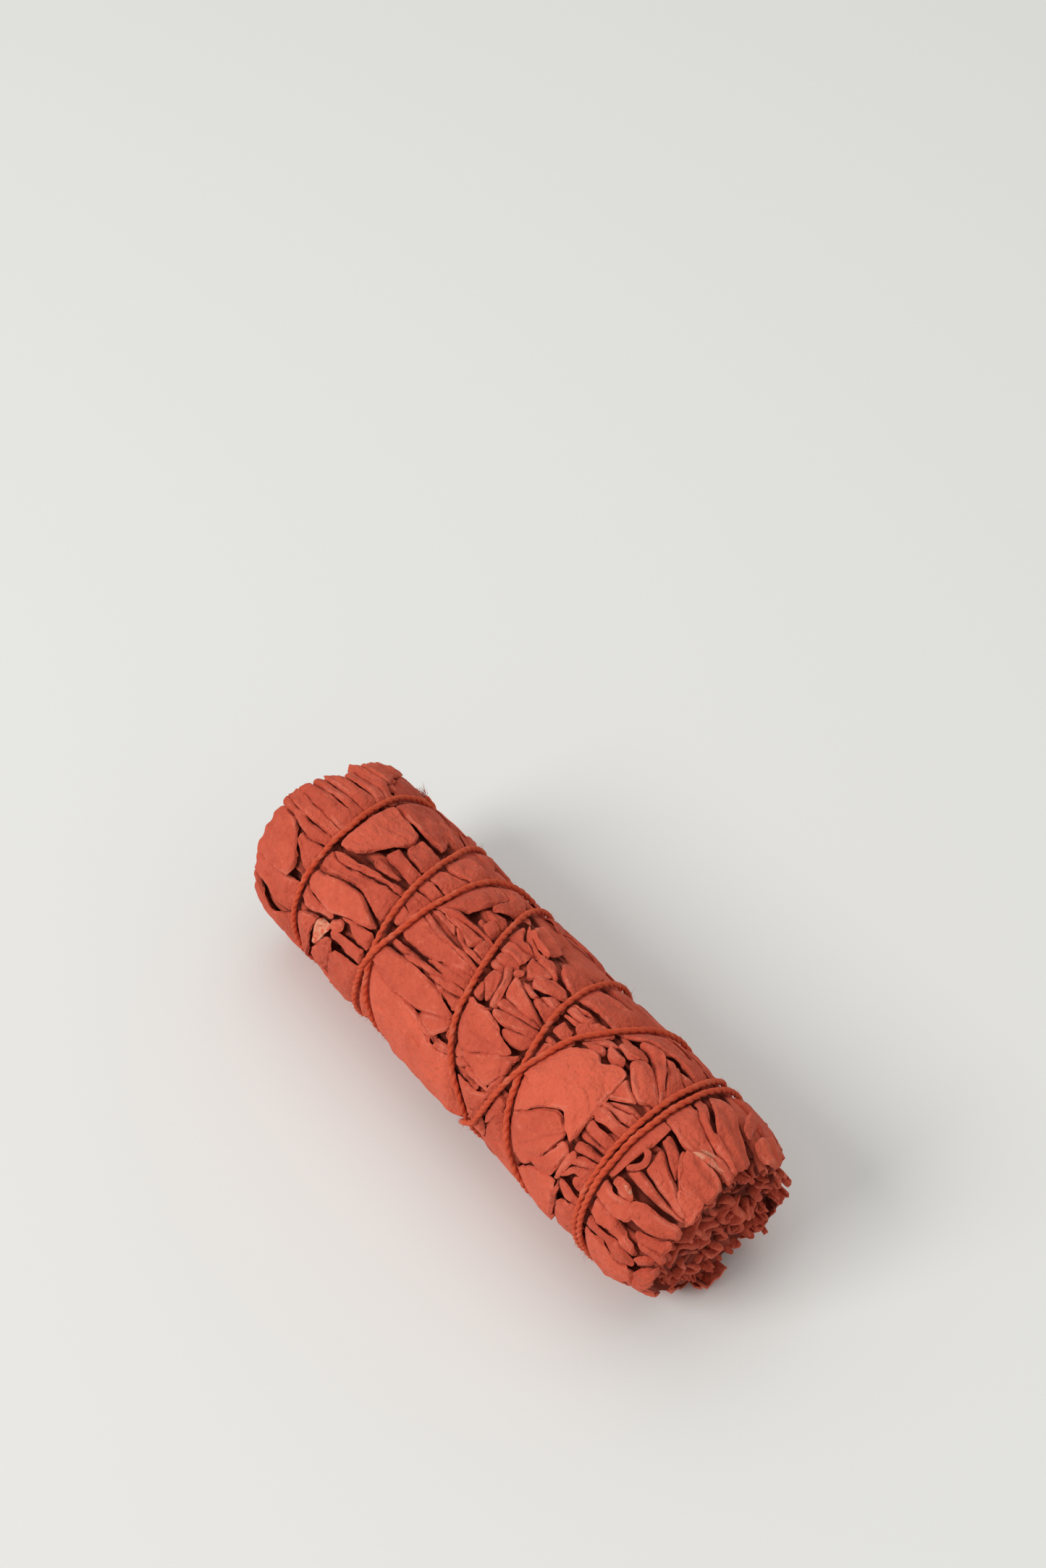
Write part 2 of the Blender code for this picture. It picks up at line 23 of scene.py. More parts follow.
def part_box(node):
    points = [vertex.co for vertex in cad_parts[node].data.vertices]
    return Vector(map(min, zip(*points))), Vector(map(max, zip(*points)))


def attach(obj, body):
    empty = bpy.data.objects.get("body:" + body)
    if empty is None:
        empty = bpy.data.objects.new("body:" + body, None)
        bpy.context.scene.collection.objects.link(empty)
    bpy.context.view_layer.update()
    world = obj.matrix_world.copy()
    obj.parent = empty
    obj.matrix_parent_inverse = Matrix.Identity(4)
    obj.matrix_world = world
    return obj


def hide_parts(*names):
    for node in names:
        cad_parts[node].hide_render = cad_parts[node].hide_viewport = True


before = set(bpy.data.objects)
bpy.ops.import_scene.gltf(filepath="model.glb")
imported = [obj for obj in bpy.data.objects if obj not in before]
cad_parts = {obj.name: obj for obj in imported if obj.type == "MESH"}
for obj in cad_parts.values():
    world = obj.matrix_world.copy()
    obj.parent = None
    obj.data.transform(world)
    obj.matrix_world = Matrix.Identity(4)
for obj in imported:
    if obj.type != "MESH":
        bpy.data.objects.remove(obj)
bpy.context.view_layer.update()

# One millimetre in metres.
MM = 0.001
# How much of the bundle's skin one degree round it takes.
DEGREE_MM = 0.3
# How high the topmost leaves lie over the lowest that show.
LAYER_TOP = 1.6
# The turn from one leaf tip to the next that spreads them evenly over an end face.
EVEN_TURN = 137.508

log = logging.getLogger("herb_bundle")

Array = np.ndarray
Piece = bpy.types.Object
Socket = bpy.types.NodeSocket
Place = tuple[float, float]
Edge = tuple[float, ...]
Colour = tuple[float, float, float, float]


def smoothstep(low: float, high: float, value: Array) -> Array:
    """Rises smoothly from 0 at low to 1 at high.

    Args:
        low: The value at which the step starts.
        high: The value at which the step ends.
        value: Where to read the step.

    Returns:
        The step's height at each value.
    """
    share = np.clip((value - low) / (high - low), 0.0, 1.0)
    return share * share * (3.0 - 2.0 * share)


def soft_min(first: Array, second: Array, width: float) -> Array:
    """The smaller of two heights, rounded where they meet.

    Args:
        first: One height.
        second: The other height.
        width: How far the rounding reaches.

    Returns:
        The smaller height at each place.
    """
    gap = np.clip((first - second) / width, -40.0, 40.0)
    return first - width * np.logaddexp(0.0, gap)


def crowded(share: Array) -> Array:
    """Moves places from -1 to 1 closer together towards both ends."""
    return share * (1.3 - 0.3 * share * share)


def lengths(line: Array) -> Array:
    """The length of each of a line's steps."""
    return np.linalg.norm(np.diff(line, axis=0), axis=1)


def run_along(line: Array) -> Array:
    """How far along a line each of its points is."""
    return np.concatenate([[0.0], np.cumsum(lengths(line))])


def unit(ways: Array) -> Array:
    """The same directions, each of length 1."""
    return ways / np.linalg.norm(ways, axis=1)[:, None]


@dataclass
class Waves:
    """A few random plane waves, which stand for the slow crumple of a dry leaf.

    Attributes:
        draw: The seeded random source.
        count: How many waves there are.
        shortest: The shortest wave.
        longest: The longest wave.
    """

    draw: random.Random
    count: int
    shortest: float
    longest: float
    rows: list[tuple[float, float, float, float]] = field(default_factory=list)

    def __post_init__(self) -> None:
        """Draws each wave's direction, length, phase and share."""
        for _ in range(self.count):
            turn = self.draw.uniform(0.0, math.pi)
            pace = math.tau / self.draw.uniform(self.shortest, self.longest)
            phase = self.draw.uniform(0.0, math.tau)
            share = self.draw.uniform(0.5, 1.0)
            self.rows.append((pace * math.cos(turn), pace * math.sin(turn), phase, share))

    def height(self, along: Array, across: Array) -> Array:
        """Reads the waves.

        Args:
            along: Places along the leaf.
            across: Places across the leaf.

        Returns:
            Heights between about -1 and 1.
        """
        total = np.zeros_like(along)
        whole = sum(row[3] for row in self.rows)
        for pace_along, pace_across, phase, share in self.rows:
            total += share * np.sin(pace_along * along + pace_across * across + phase)
        return total / whole


@dataclass
class TwineRoute:
    """Where the twine runs: a read-off list of turning angles and places, and its height over the axis.

    Attributes:
        points: The route, as (turning angle in degrees, place along the bundle in mm).
        thickness: The twine's diameter.
        seat: How far the twine's middle lies above the lowest leaves.
        crossing: How far apart crossing turns lie, as a share of the thickness.
        step: The spacing of the points that the twine is made with, in degrees.
    """

    points: tuple[Place, ...] = (
        (360, -40.6), (390, -41.6), (420, -41.4), (445, -40.2), (470, -39.2), (540, -38.9), (560, -38.5),
        (610, -37.0), (650, -34.5), (685, -31.5), (730, -28.3), (765, -26.0), (785, -24.2), (820, -21.5),
        (850, -19.6), (900, -17.0), (1000, -12.0), (1125, -7.6), (1160, -4.3), (1190, -0.5), (1225, 3.2),
        (1260, 9.4), (1310, 10.8), (1430, 11.4), (1490, 12.4), (1530, 13.7), (1570, 17.3), (1610, 21.0),
        (1640, 24.8), (1690, 26.6), (1740, 28.6), (1770, 31.0), (1810, 34.6), (1840, 36.9), (1870, 37.7),
        (2000, 38.1), (2120, 38.1), (2190, 39.0), (2360, 39.1), (2400, 38.0), (2460, 34.0), (2490, 31.0),
        (2530, 27.0), (2570, 24.0), (2595, 22.0), (2615, 19.6), (2640, 18.0), (2670, 15.6), (2700, 12.6),
        (2712, 9.4), (2790, 0.0), (2840, -6.5), (2880, -11.0), (2930, -15.7), (2975, -16.2), (3010, -17.6),
        (3045, -20.0), (3080, -21.6), (3130, -24.6), (3170, -28.6), (3205, -33.0), (3240, -38.4),
    )
    thickness: float = 1.24
    seat: float = 0.92
    crossing: float = 0.64
    step: float = 3.0

    @property
    def first(self) -> float:
        """The turning angle at which the twine leaves its knot."""
        return self.points[0][0]

    @property
    def last(self) -> float:
        """The turning angle at which the twine comes back to its knot."""
        return self.points[-1][0]

    def place(self, angle: float) -> float:
        """Reads the route with a cubic through its points.

        Args:
            angle: A turning angle, in degrees.

        Returns:
            The place along the bundle.
        """
        route = self.points
        i = 0
        while i < len(route) - 2 and angle > route[i + 1][0]:
            i += 1
        before, after = route[max(i - 1, 0)], route[min(i + 2, len(route) - 1)]
        (a0, x0), (a1, x1) = route[i], route[i + 1]
        slope0 = (x1 - before[1]) / (a1 - before[0])
        slope1 = (after[1] - x0) / (after[0] - a0)
        span, t = a1 - a0, (angle - a0) / (a1 - a0)
        start = x0 * (1 + 2 * t) * (1 - t) ** 2 + slope0 * span * t * (1 - t) ** 2
        return start + x1 * t * t * (3 - 2 * t) + slope1 * span * t * t * (t - 1)

    def angles(self) -> list[float]:
        """The turning angles at which the twine has its points."""
        count = round((self.last - self.first) / self.step)
        return [self.first + (self.last - self.first) * i / count for i in range(count + 1)]


@dataclass
class Bundle:
    """The bundle's outline, which all of its pieces are laid on.

    Attributes:
        axis_y: The axis's place across, in metres.
        axis_z: The axis's height, in metres.
        half_length: Half the bundle's length.
        radius: The distance from the axis of the lowest leaves that show.
        packing: How much of its height in the pile a leaf keeps where it is held down.
        route: The twine's route.
        line: The twine as (turning angle, place, distance from the axis).
        turn_places: Each turn's place at each whole degree.
        turn_radii: Each turn's distance from the axis there.
    """

    axis_y: float
    axis_z: float
    half_length: float = 52.5
    radius: float = 16.1
    packing: float = 0.22
    route: TwineRoute = field(default_factory=TwineRoute)
    line: list[tuple[float, float, float]] = field(init=False)
    turn_places: Array = field(init=False)
    turn_radii: Array = field(init=False)

    def __post_init__(self) -> None:
        """Settles the twine's height, then tabulates its turns by the degree."""
        self.line = self.twine_line()
        angles, places, radii = np.array(self.line).T
        rows_x, rows_r = [], []
        turn = math.floor(self.route.first / 360.0)
        while turn * 360 <= self.route.last:
            degrees = np.arange(361) + 360.0 * turn
            inside = (degrees >= self.route.first) & (degrees <= self.route.last)
            rows_x.append(np.where(inside, np.interp(degrees, angles, places), 1e3))
            rows_r.append(np.interp(degrees, angles, radii))
            turn += 1
        self.turn_places, self.turn_radii = np.array(rows_x), np.array(rows_r)

    def outline(self, x: Array, degrees: Array) -> Array:
        """How far the lowest leaves that show are from the axis.

        Args:
            x: Places along the bundle.
            degrees: Angles round the axis.

        Returns:
            Distances from the axis.
        """
        turn = np.radians(degrees)
        slow = 0.6 * np.sin(1.3 * x / 9.5 + 2.4 * turn) + 0.4 * np.sin(1.3 * x / 5.3 + 4.0 * turn)
        lumps = 0.3 * slow + 0.25 * np.sin(3 * turn + 0.7)
        past = np.clip(np.abs(x) / self.half_length - 0.8, 0.0, 0.3) / 0.2
        rounding = np.where(x > 0.0, 0.15, 0.07)
        return (self.radius + lumps) * (1.0 - rounding * past * past)

    def off_table(self, degrees: Array, clear: float) -> Array:
        """The largest distance from the axis at which a thing stays off the table.

        Args:
            degrees: Angles round the axis.
            clear: How far above the table it stays.

        Returns:
            Distances from the axis.
        """
        down = np.maximum(-np.sin(np.radians(degrees)), 0.3)
        return (self.axis_z / MM - clear) / down

    def twine_line(self) -> list[tuple[float, float, float]]:
        """The twine's (turning angle, place, distance from the axis), later turns over earlier ones."""
        route = self.route
        laid: list[tuple[float, float, float]] = []
        for angle in route.angles():
            x = route.place(angle)
            radius = float(self.outline(np.array(x), np.array(angle))) + route.seat
            radius = min(radius, float(self.off_table(np.array(angle), 0.55 * route.thickness + 0.1)))
            laid.append((angle, x, radius))
        lifts = [0.0] * len(laid)
        for i, (angle, x, radius) in enumerate(laid):
            for j in range(i):
                earlier, x_there, radius_there = laid[j]
                turned = (angle - earlier) % 360
                if angle - earlier > 180 and min(turned, 360 - turned) <= 0.6 * route.step:
                    apart = route.crossing * route.thickness
                    beside = abs(x - x_there)
                    if beside < apart:
                        over = radius_there + lifts[j] + math.sqrt(apart**2 - beside**2)
                        lifts[i] = max(lifts[i], over - radius)
        spread = []
        for i in range(len(lifts)):
            nearby = [(k, lifts[k]) for k in range(max(0, i - 6), min(len(lifts), i + 7))]
            spread.append(max(lift * math.exp(-(((k - i) / 3.0) ** 2)) for k, lift in nearby))
        return [(a, x, r + lift) for (a, x, r), lift in zip(laid, spread)]

    def twine_near(self, x: Array, degrees: Array) -> tuple[Array, Array]:
        """The nearest turn of twine.

        Args:
            x: Places along the bundle.
            degrees: Angles round the axis.

        Returns:
            The distance to the nearest turn, and that turn's distance from the axis.
        """
        at = np.mod(np.round(degrees), 360).astype(int)
        apart = np.abs(x[None, ...] - self.turn_places[:, at])
        nearest = np.argmin(apart, axis=0)
        distance = np.take_along_axis(apart, nearest[None, ...], axis=0)[0]
        radius = np.take_along_axis(self.turn_radii[:, at], nearest[None, ...], axis=0)[0]
        return distance, radius

    def press(self, x: Array, degrees: Array, radius: Array, layer: float) -> Array:
        """Holds leaves down under the twine and off the table, each layer under the next.

        Args:
            x: Places along the bundle.
            degrees: Angles round the axis.
            radius: Distances from the axis before pressing.
            layer: How high the leaf lies in the pile.

        Returns:
            Distances from the axis.
        """
        order = self.packing * (LAYER_TOP - layer)
        distance, over = self.twine_near(x, degrees)
        held = over - 0.45 * self.route.thickness - order + 0.5 * np.maximum(distance - 0.4, 0.0)
        pressed = soft_min(radius, held, 0.18)
        below = np.sin(np.radians(degrees)) < -0.3
        flat = soft_min(pressed, self.off_table(degrees, 0.04) - order, 0.12)
        return np.where(below, flat, pressed)

    def points(self, x: Array, degrees: Array, radius: Array) -> Array:
        """Places on the bundle as coordinates.

        Args:
            x: Places along the bundle.
            degrees: Angles round the axis.
            radius: Distances from the axis.

        Returns:
            An array of points, in metres.
        """
        turn = np.radians(degrees)
        across = self.axis_y + MM * radius * np.cos(turn)
        height = self.axis_z + MM * radius * np.sin(turn)
        return np.stack([MM * x, across, np.maximum(height, 0.02 * MM)], axis=-1)


@dataclass
class Leaf:
    """One pressed leaf.

    Attributes:
        start: Where it begins, as (mm along, degrees round).
        end: Where it ends.
        width: Its full width.
        layer: How high it lies in the pile.
        bend: How far its middle is pushed aside.
        crown: How far its middle bulges.
        curl: How far each long edge rolls, in degrees: up if positive, under if negative.
        ends: How blunt each end is, from 1.2 for a point to 4 for a blunt end; 6 is cut square.
        tuck: How deep each end is tucked in.
        creases: How many sharp folds run along it.
        tilt: How much higher its left edge lies than its middle.
        tint: 0 for the dark leaves, 1 for the light ones.
    """

    start: Place
    end: Place
    width: float
    layer: float
    bend: float
    crown: float
    curl: Place
    ends: Place
    tuck: Place
    creases: int
    tilt: float
    tint: float

    @property
    def middle(self) -> Place:
        """The place half way along the leaf."""
        return 0.5 * (self.start[0] + self.end[0]), 0.5 * (self.start[1] + self.end[1])

    @property
    def length(self) -> float:
        """The leaf's length."""
        return math.hypot(self.end[0] - self.start[0], DEGREE_MM * (self.end[1] - self.start[1]))


@dataclass
class SeenLeaf:
    """One leaf on the photographed side, read by its two long edges.

    Attributes:
        low: The edge at the smaller angles: mm along, degrees round, point by point towards +X.
        high: The edge at the larger angles, in the same way.
        layer: How high it lies in the pile.
        crown: How far its middle bulges.
        tint: 0 for the dark leaves, 1 for the light ones.
        pale: 1 where the dye has worn off.
    """

    low: Edge
    high: Edge
    layer: float = 1.0
    crown: float = 0.25
    tint: float = 0.5
    pale: float = 0.0

    @staticmethod
    def walk(edge: Edge, share: Array) -> Array:
        """Places along an edge.

        Args:
            edge: The edge.
            share: How far along it each place is, from 0 to 1.

        Returns:
            Places, as millimetres along and round.
        """
        corners = np.array(edge).reshape(-1, 2) * np.array([1.0, DEGREE_MM])
        for cut in (0.18, 0.25):
            rounded = [corners[0]]
            for a, b in zip(corners, corners[1:]):
                rounded += [(1.0 - cut) * a + cut * b, cut * a + (1.0 - cut) * b]
            corners = np.array([*rounded, corners[-1]])
        run = run_along(corners) / np.sum(lengths(corners))
        return np.stack([np.interp(share, run, corners[:, axis]) for axis in range(2)], axis=-1)

    def edges(self, share: Array) -> tuple[Array, Array]:
        """Both edges, with the low one first however they were read.

        Args:
            share: How far along them each place is, from 0 to 1.

        Returns:
            Places on the low edge and on the high edge.
        """
        low, high = self.walk(self.low, share), self.walk(self.high, share)
        corners = [self.walk(edge, np.array([0.0, 1.0])) for edge in (self.low, self.high)]
        run, rise = corners[0][1] - corners[1][0], corners[1][1] - corners[0][0]
        turned = run[0] * rise[1] - run[1] * rise[0]
        return (low, high) if turned > 0.0 else (high, low)

    @property
    def middle(self) -> Place:
        """The place at the middle of the leaf."""
        low, high = self.edges(np.array([0.5]))
        x, round_at = 0.5 * (low[0] + high[0])
        return float(x), float(round_at) / DEGREE_MM


@dataclass
class Ridge:
    """A thin raised fold or stalk, read by its crest.

    Attributes:
        crest: Its crest: mm along, degrees round, point by point towards +X or round the bundle.
        width: Its width.
    """

    crest: Edge
    width: float

    def leaf(self) -> SeenLeaf:
        """The ridge as a narrow leaf that tapers to both ends."""
        line = np.array(self.crest).reshape(-1, 2) * np.array([1.0, DEGREE_MM])
        way = unit(np.gradient(line, axis=0))
        share = np.linspace(0.0, 1.0, len(line))
        half = 0.42 * self.width * (0.35 + 0.65 * np.sin(math.pi * share) ** 0.5)
        aside = half[:, None] * np.stack([-way[:, 1], way[:, 0]], axis=-1)
        scale = np.array([1.0, 1.0 / DEGREE_MM])
        low, high = (
            tuple(float(value) for value in ((line + side * aside) * scale).flat) for side in (-1.0, 1.0))
        return SeenLeaf(low, high, layer=1.55, crown=0.3, tint=0.6)


def deselect() -> None:
    """Leaves nothing selected, so that an operator acts only on what is selected next."""
    if bpy.context.mode != "OBJECT":
        bpy.ops.object.mode_set(mode="OBJECT")
    bpy.ops.object.select_all(action="DESELECT")


def activate(obj: Piece) -> None:
    """Selects one object alone and makes it active.

    Args:
        obj: The object to work on.
    """
    deselect()
    obj.select_set(True)
    bpy.context.view_layer.objects.active = obj


def join(name: str, parts: list[Piece]) -> Piece:
    """Joins objects into one.

    Args:
        name: The joined piece's name.
        parts: The objects to join.

    Returns:
        The joined object.
    """
    deselect()
    for part in parts:
        part.select_set(True)
    bpy.context.view_layer.objects.active = parts[0]
    if len(parts) > 1:
        bpy.ops.object.join()
    joined = bpy.context.view_layer.objects.active
    joined.name = name
    joined.data.name = name
    return joined


def thicken(obj: Piece, thickness: float) -> None:
    """Gives a sheet its thickness on its inner side, and keeps it off the table.

    Args:
        obj: The sheet.
        thickness: The thickness.
    """
    activate(obj)
    solidify = obj.modifiers.new("thickness", "SOLIDIFY")
    solidify.thickness = thickness * MM
    solidify.offset = -1.0
    bpy.ops.object.modifier_apply(modifier=solidify.name)
    points = points_of(obj)
    points[:, 2] = np.maximum(points[:, 2], 0.01 * MM)
    set_points(obj, points)


def smooth(obj: Piece, degrees: float) -> None:
    """Shades an object smooth, apart from edges sharper than an angle.

    Args:
        obj: The object.
        degrees: The sharpest angle that is still shaded smooth.
    """
    activate(obj)
    bpy.ops.object.shade_smooth_by_angle(angle=math.radians(degrees))


def mark(obj: Piece, depth: Any, edge: Any, tint: Any, pale: Any = 0.0) -> None:
    """Writes what the leaf's finish reads at each vertex.

    Args:
        obj: The piece.
        depth: How deep in a gap each vertex lies, from 0 to 1; the finish paints shade there.
        edge: How near it is to a worn rim or a rounded lip, from 0 to 1; the finish lightens it as worn dye
            and painted highlight.
        tint: 0 for the dark leaves, 1 for the light ones.
        pale: 1 where the dye has worn off.
    """
    count = len(obj.data.vertices)
    for name, values in (("depth", depth), ("edge", edge), ("tint", tint), ("pale", pale)):
        layer = obj.data.attributes.new(name, "FLOAT", "POINT")
        layer.data.foreach_set("value", np.full(count, values, dtype=np.float32))


def points_of(obj: Piece) -> Array:
    """Reads each vertex's point.

    Args:
        obj: The object.

    Returns:
        One point for each vertex, in metres.
    """
    flat = np.empty(3 * len(obj.data.vertices), dtype=np.float32)
    obj.data.vertices.foreach_get("co", flat)
    return flat.reshape(-1, 3).astype(np.float64)


def set_points(obj: Piece, points: Array) -> None:
    """Moves each vertex to its point.

    Args:
        obj: The object.
        points: One point for each vertex, in metres.
    """
    obj.data.vertices.foreach_set("co", np.ascontiguousarray(points.reshape(-1), dtype=np.float32))
    obj.data.update()


class BlankStore:
    """Flat grids that each leaf is cut from, modelled once for each fineness and copied."""

    def __init__(self) -> None:
        """Starts with no blank."""
        self.blanks: dict[tuple[int, int], Piece] = {}

    def copy(self, along: int, across: int) -> tuple[Piece, Array, Array]:
        """A fresh copy of a blank.

        Args:
            along: Its cells along the leaf.
            across: Its cells across the leaf.

        Returns:
            The new object, and each vertex's place along (0 to 1) and across (-1 to 1).
        """
        if (along, across) not in self.blanks:
            deselect()
            bpy.ops.mesh.primitive_grid_add(x_subdivisions=along, y_subdivisions=across, size=2.0)
            self.blanks[along, across] = bpy.context.object
        blank = self.blanks[along, across]
        obj = blank.copy()
        obj.data = blank.data.copy()
        bpy.context.scene.collection.objects.link(obj)
        flat = points_of(obj)
        return obj, 0.5 * (flat[:, 0] + 1.0), flat[:, 1]

    def clear(self) -> None:
        """Removes the blanks."""
        for blank in self.blanks.values():
            bpy.data.objects.remove(blank)
        self.blanks = {}


@dataclass
class LeafPress:
    """Lays leaves on the bundle.

    Attributes:
        bundle: The outline to lay them on.
        blanks: The flat grids to cut them from.
        draw: The seeded random source.
        cell_along: The length of a grid cell.
        cell_across: Its width.
        seen_along: The length of a read leaf's grid cell.
        seen_across: Its width.
        curl_radius: How tightly a long edge rolls.
        skirt: How far an edge that rolls under reaches down.
        square: The bluntness from which an end is cut square.
        lip: How wide the rounded edge of a read leaf is.
        lap: How far a read leaf reaches over its neighbours.
        corner: How far a read leaf's corners are rounded off.
        pinch: How deep the fine creases along a read leaf are.
        crumple: How high a read leaf's slow crumple is.
        fine_crumple: How high its fine crumple is.
        torn: How far its torn edge wanders.
        tilt: How much one edge may lie higher than its middle.
        gather: How deep the gathers beside the twine are.
        ruffle: How high the ruffles at the bundle's ends are.
    """

    bundle: Bundle
    blanks: BlankStore
    draw: random.Random
    cell_along: float = 0.6
    cell_across: float = 0.26
    seen_along: float = 0.34
    seen_across: float = 0.24
    curl_radius: float = 0.36
    skirt: float = 0.75
    square: float = 5.0
    lip: float = 0.4
    lap: float = 0.24
    corner: float = 0.8
    pinch: float = 0.2
    crumple: float = 0.34
    fine_crumple: float = 0.09
    torn: float = 0.09
    tilt: float = 0.42
    gather: float = 0.22
    ruffle: float = 0.4

    def waves(self, count: int, shortest: float, longest: float, along: Array, across: Array) -> Array:
        """Draws a few new waves and reads them.

        Args:
            count: How many waves there are.
            shortest: The shortest wave.
            longest: The longest wave.
            along: Places one way.
            across: Places the other way.

        Returns:
            Heights between about -1 and 1.
        """
        return Waves(self.draw, count, shortest, longest).height(along, across)

    def lay(self, leaf: Leaf) -> Piece:
        """Cuts one leaf and lays it.

        Args:
            leaf: The leaf.

        Returns:
            The leaf as a sheet with no thickness.
        """
        along = int(min(max(leaf.length / self.cell_along, 8), 44))
        across = int(min(max(leaf.width / self.cell_across, 8), 44))
        obj, u, v = self.blanks.copy(along, across)
        v = -crowded(v)
        start = np.array([leaf.start[0], DEGREE_MM * leaf.start[1]])
        end = np.array([leaf.end[0], DEGREE_MM * leaf.end[1]])
        run = end - start
        aside = np.array([-run[1], run[0]]) / max(leaf.length, 1e-6)
        bow = 4.0 * u * (1.0 - u)
        centre = start + u[:, None] * run + (leaf.bend * bow)[:, None] * aside
        slope = leaf.bend * 4.0 * (1.0 - 2.0 * u)
        heading = unit(run[None, :] + slope[:, None] * aside)
        sideways = np.stack([-heading[:, 1], heading[:, 0]], axis=1)
        half = 0.5 * leaf.width * self.profile(u, v, leaf)
        reach = half * v
        lateral, rise = self.rolled(reach, half, leaf.curl)
        spot = centre + lateral[:, None] * sideways
        x, degrees = spot[:, 0], spot[:, 1] / DEGREE_MM
        folded, gap = self.creased(u, reach, leaf.width, leaf.creases)
        height = leaf.layer + rise + folded + self.relief(u, v, reach, leaf)
        radius = self.bundle.outline(x, degrees) + height
        radius = self.bundle.press(x, degrees, radius, leaf.layer)
        radius = radius + self.puckered(x, degrees)
        set_points(obj, self.bundle.points(x, degrees, radius))
        # Painted shade: depth darkens leaves below the top layer or down near the lowest leaves, and fold
        # gaps; the rim mark is for worn dye.
        top = self.bundle.outline(x, degrees) + LAYER_TOP
        rim = np.maximum(np.abs(v), np.abs(2.0 * u - 1.0))
        sunk = np.clip((top - 0.4 - radius) / 2.3, 0.0, 1.0)
        sunk = np.maximum(sunk, 1.0 - smoothstep(-0.45, 0.35, radius - self.bundle.outline(x, degrees)))
        mark(obj, np.maximum(sunk, 0.85 * gap), smoothstep(0.8, 1.0, rim), leaf.tint)
        return obj

    def lay_seen(self, leaf: SeenLeaf) -> Piece:
        """Cuts one leaf between its two read edges and lays it.

        Args:
            leaf: The leaf.

        Returns:
            The leaf as a sheet with no thickness.
        """
        low, high = leaf.edges(np.linspace(0.0, 1.0, 24))
        width = float(np.max(np.linalg.norm(high - low, axis=1)))
        length = float(np.mean([np.sum(lengths(edge)) for edge in (low, high)]))
        obj, u, v = self.blanks.copy(
            int(min(max(length / self.seen_along, 8), 64)), int(min(max(width / self.seen_across, 6), 64)))
        u = 0.5 * (1.0 + crowded(2.0 * u - 1.0))
        spot, share, across_leaf, inside = self.spread(leaf, u, 0.5 * (1.0 - crowded(v)), length)
        x, degrees = spot[:, 0], spot[:, 1] / DEGREE_MM
        parted = 0.06 + 0.94 * smoothstep(-0.3, 0.4, self.waves(3, 3.0, 9.0, *spot.T))
        drop = self.skirt * parted * (1.0 - smoothstep(0.0, self.lip, inside))
        folded, gap = self.creased(u, across_leaf, 0.7 * width, min(int(width / 2.2), 3))
        crown = leaf.crown * (1.0 + 0.7 * math.exp(-0.4 * width))
        height = crown * (1.0 - np.exp(-inside / 0.8)) + 0.1 * np.exp(-(((inside - 0.5) / 0.25) ** 2))
        height += self.crumple * self.waves(4, 2.6, 8.0, *spot.T)
        height += self.fine_crumple * self.waves(5, 1.2, 2.8, *spot.T)
        pinch = np.exp(-((self.waves(3, 1.7, 4.0, 0.3 * u * length, across_leaf) / 0.22) ** 2))
        pinch *= smoothstep(-0.1, 0.5, self.waves(3, 2.5, 6.0, *spot.T)) * smoothstep(0.2, 0.7, inside)
        height -= self.pinch * pinch
        tilt = self.draw.uniform(-self.tilt, self.tilt)
        height += leaf.layer + 0.45 * folded + tilt * (2.0 * share - 1.0)
        radius = self.bundle.press(x, degrees, self.bundle.outline(x, degrees) + height, leaf.layer)
        radius = radius + 0.6 * self.puckered(x, degrees) - drop
        set_points(obj, self.bundle.points(x, degrees, radius))
        # Painted shade: darker where the leaf lies low, where its edge drops under and in its fold gaps and
        # pinches; the lip's mark is lightened as worn dye and painted highlight.
        sunk = 1.0 - smoothstep(-0.45, 0.35, radius - self.bundle.outline(x, degrees))
        dark = smoothstep(0.45, 1.0, drop / self.skirt)
        depth = np.maximum(np.maximum(sunk, dark), np.maximum(0.5 * gap, 0.45 * pinch))
        edge = np.exp(-(((inside - 0.42) / 0.22) ** 2))
        mark(obj, depth, edge, leaf.tint + self.draw.uniform(-0.12, 0.12), leaf.pale)
        return obj

    def spread(
            self, leaf: SeenLeaf, u: Array, share: Array, length: float) -> tuple[Array, Array, Array, Array]:
        """Spreads a grid between a leaf's read edges, with rounded corners and a torn rim.

        Args:
            leaf: The leaf.
            u: Places along, from 0 to 1.
            share: Places across, from 0 at the low edge to 1.
            length: The leaf's length.

        Returns:
            Places on the bundle's skin, places across from 0 to 1, distances from the leaf's middle line, and
            distances from its rim.
        """
        from_end = np.minimum(u, 1.0 - u) * length
        corner = 1.0 - np.clip(from_end / min(self.corner, 0.4 * length), 0.0, 1.0)
        share = 0.5 + (share - 0.5) * (0.3 + 0.7 * np.sqrt(1.0 - corner * corner))
        low, high = leaf.edges(u)
        across = np.linalg.norm(high - low, axis=1)
        ahead, behind = (sum(leaf.edges(np.clip(u + step, 0.0, 1.0))) for step in (0.02, -0.02))
        forward = unit(ahead - behind)
        sideways = (high - low) / np.maximum(across, 1e-6)[:, None]
        outwards = (2.0 * u - 1.0)[:, None] * forward + (2.0 * share - 1.0)[:, None] * sideways
        spot = low + share[:, None] * (high - low) + self.lap * outwards
        inside = np.minimum(np.minimum(share, 1.0 - share) * across, from_end)
        torn = self.torn * self.waves(5, 0.9, 3.0, *spot.T)
        spot = spot + (torn * (1.0 - smoothstep(0.0, 1.0, inside)))[:, None]
        return spot, share, (share - 0.5) * across, inside

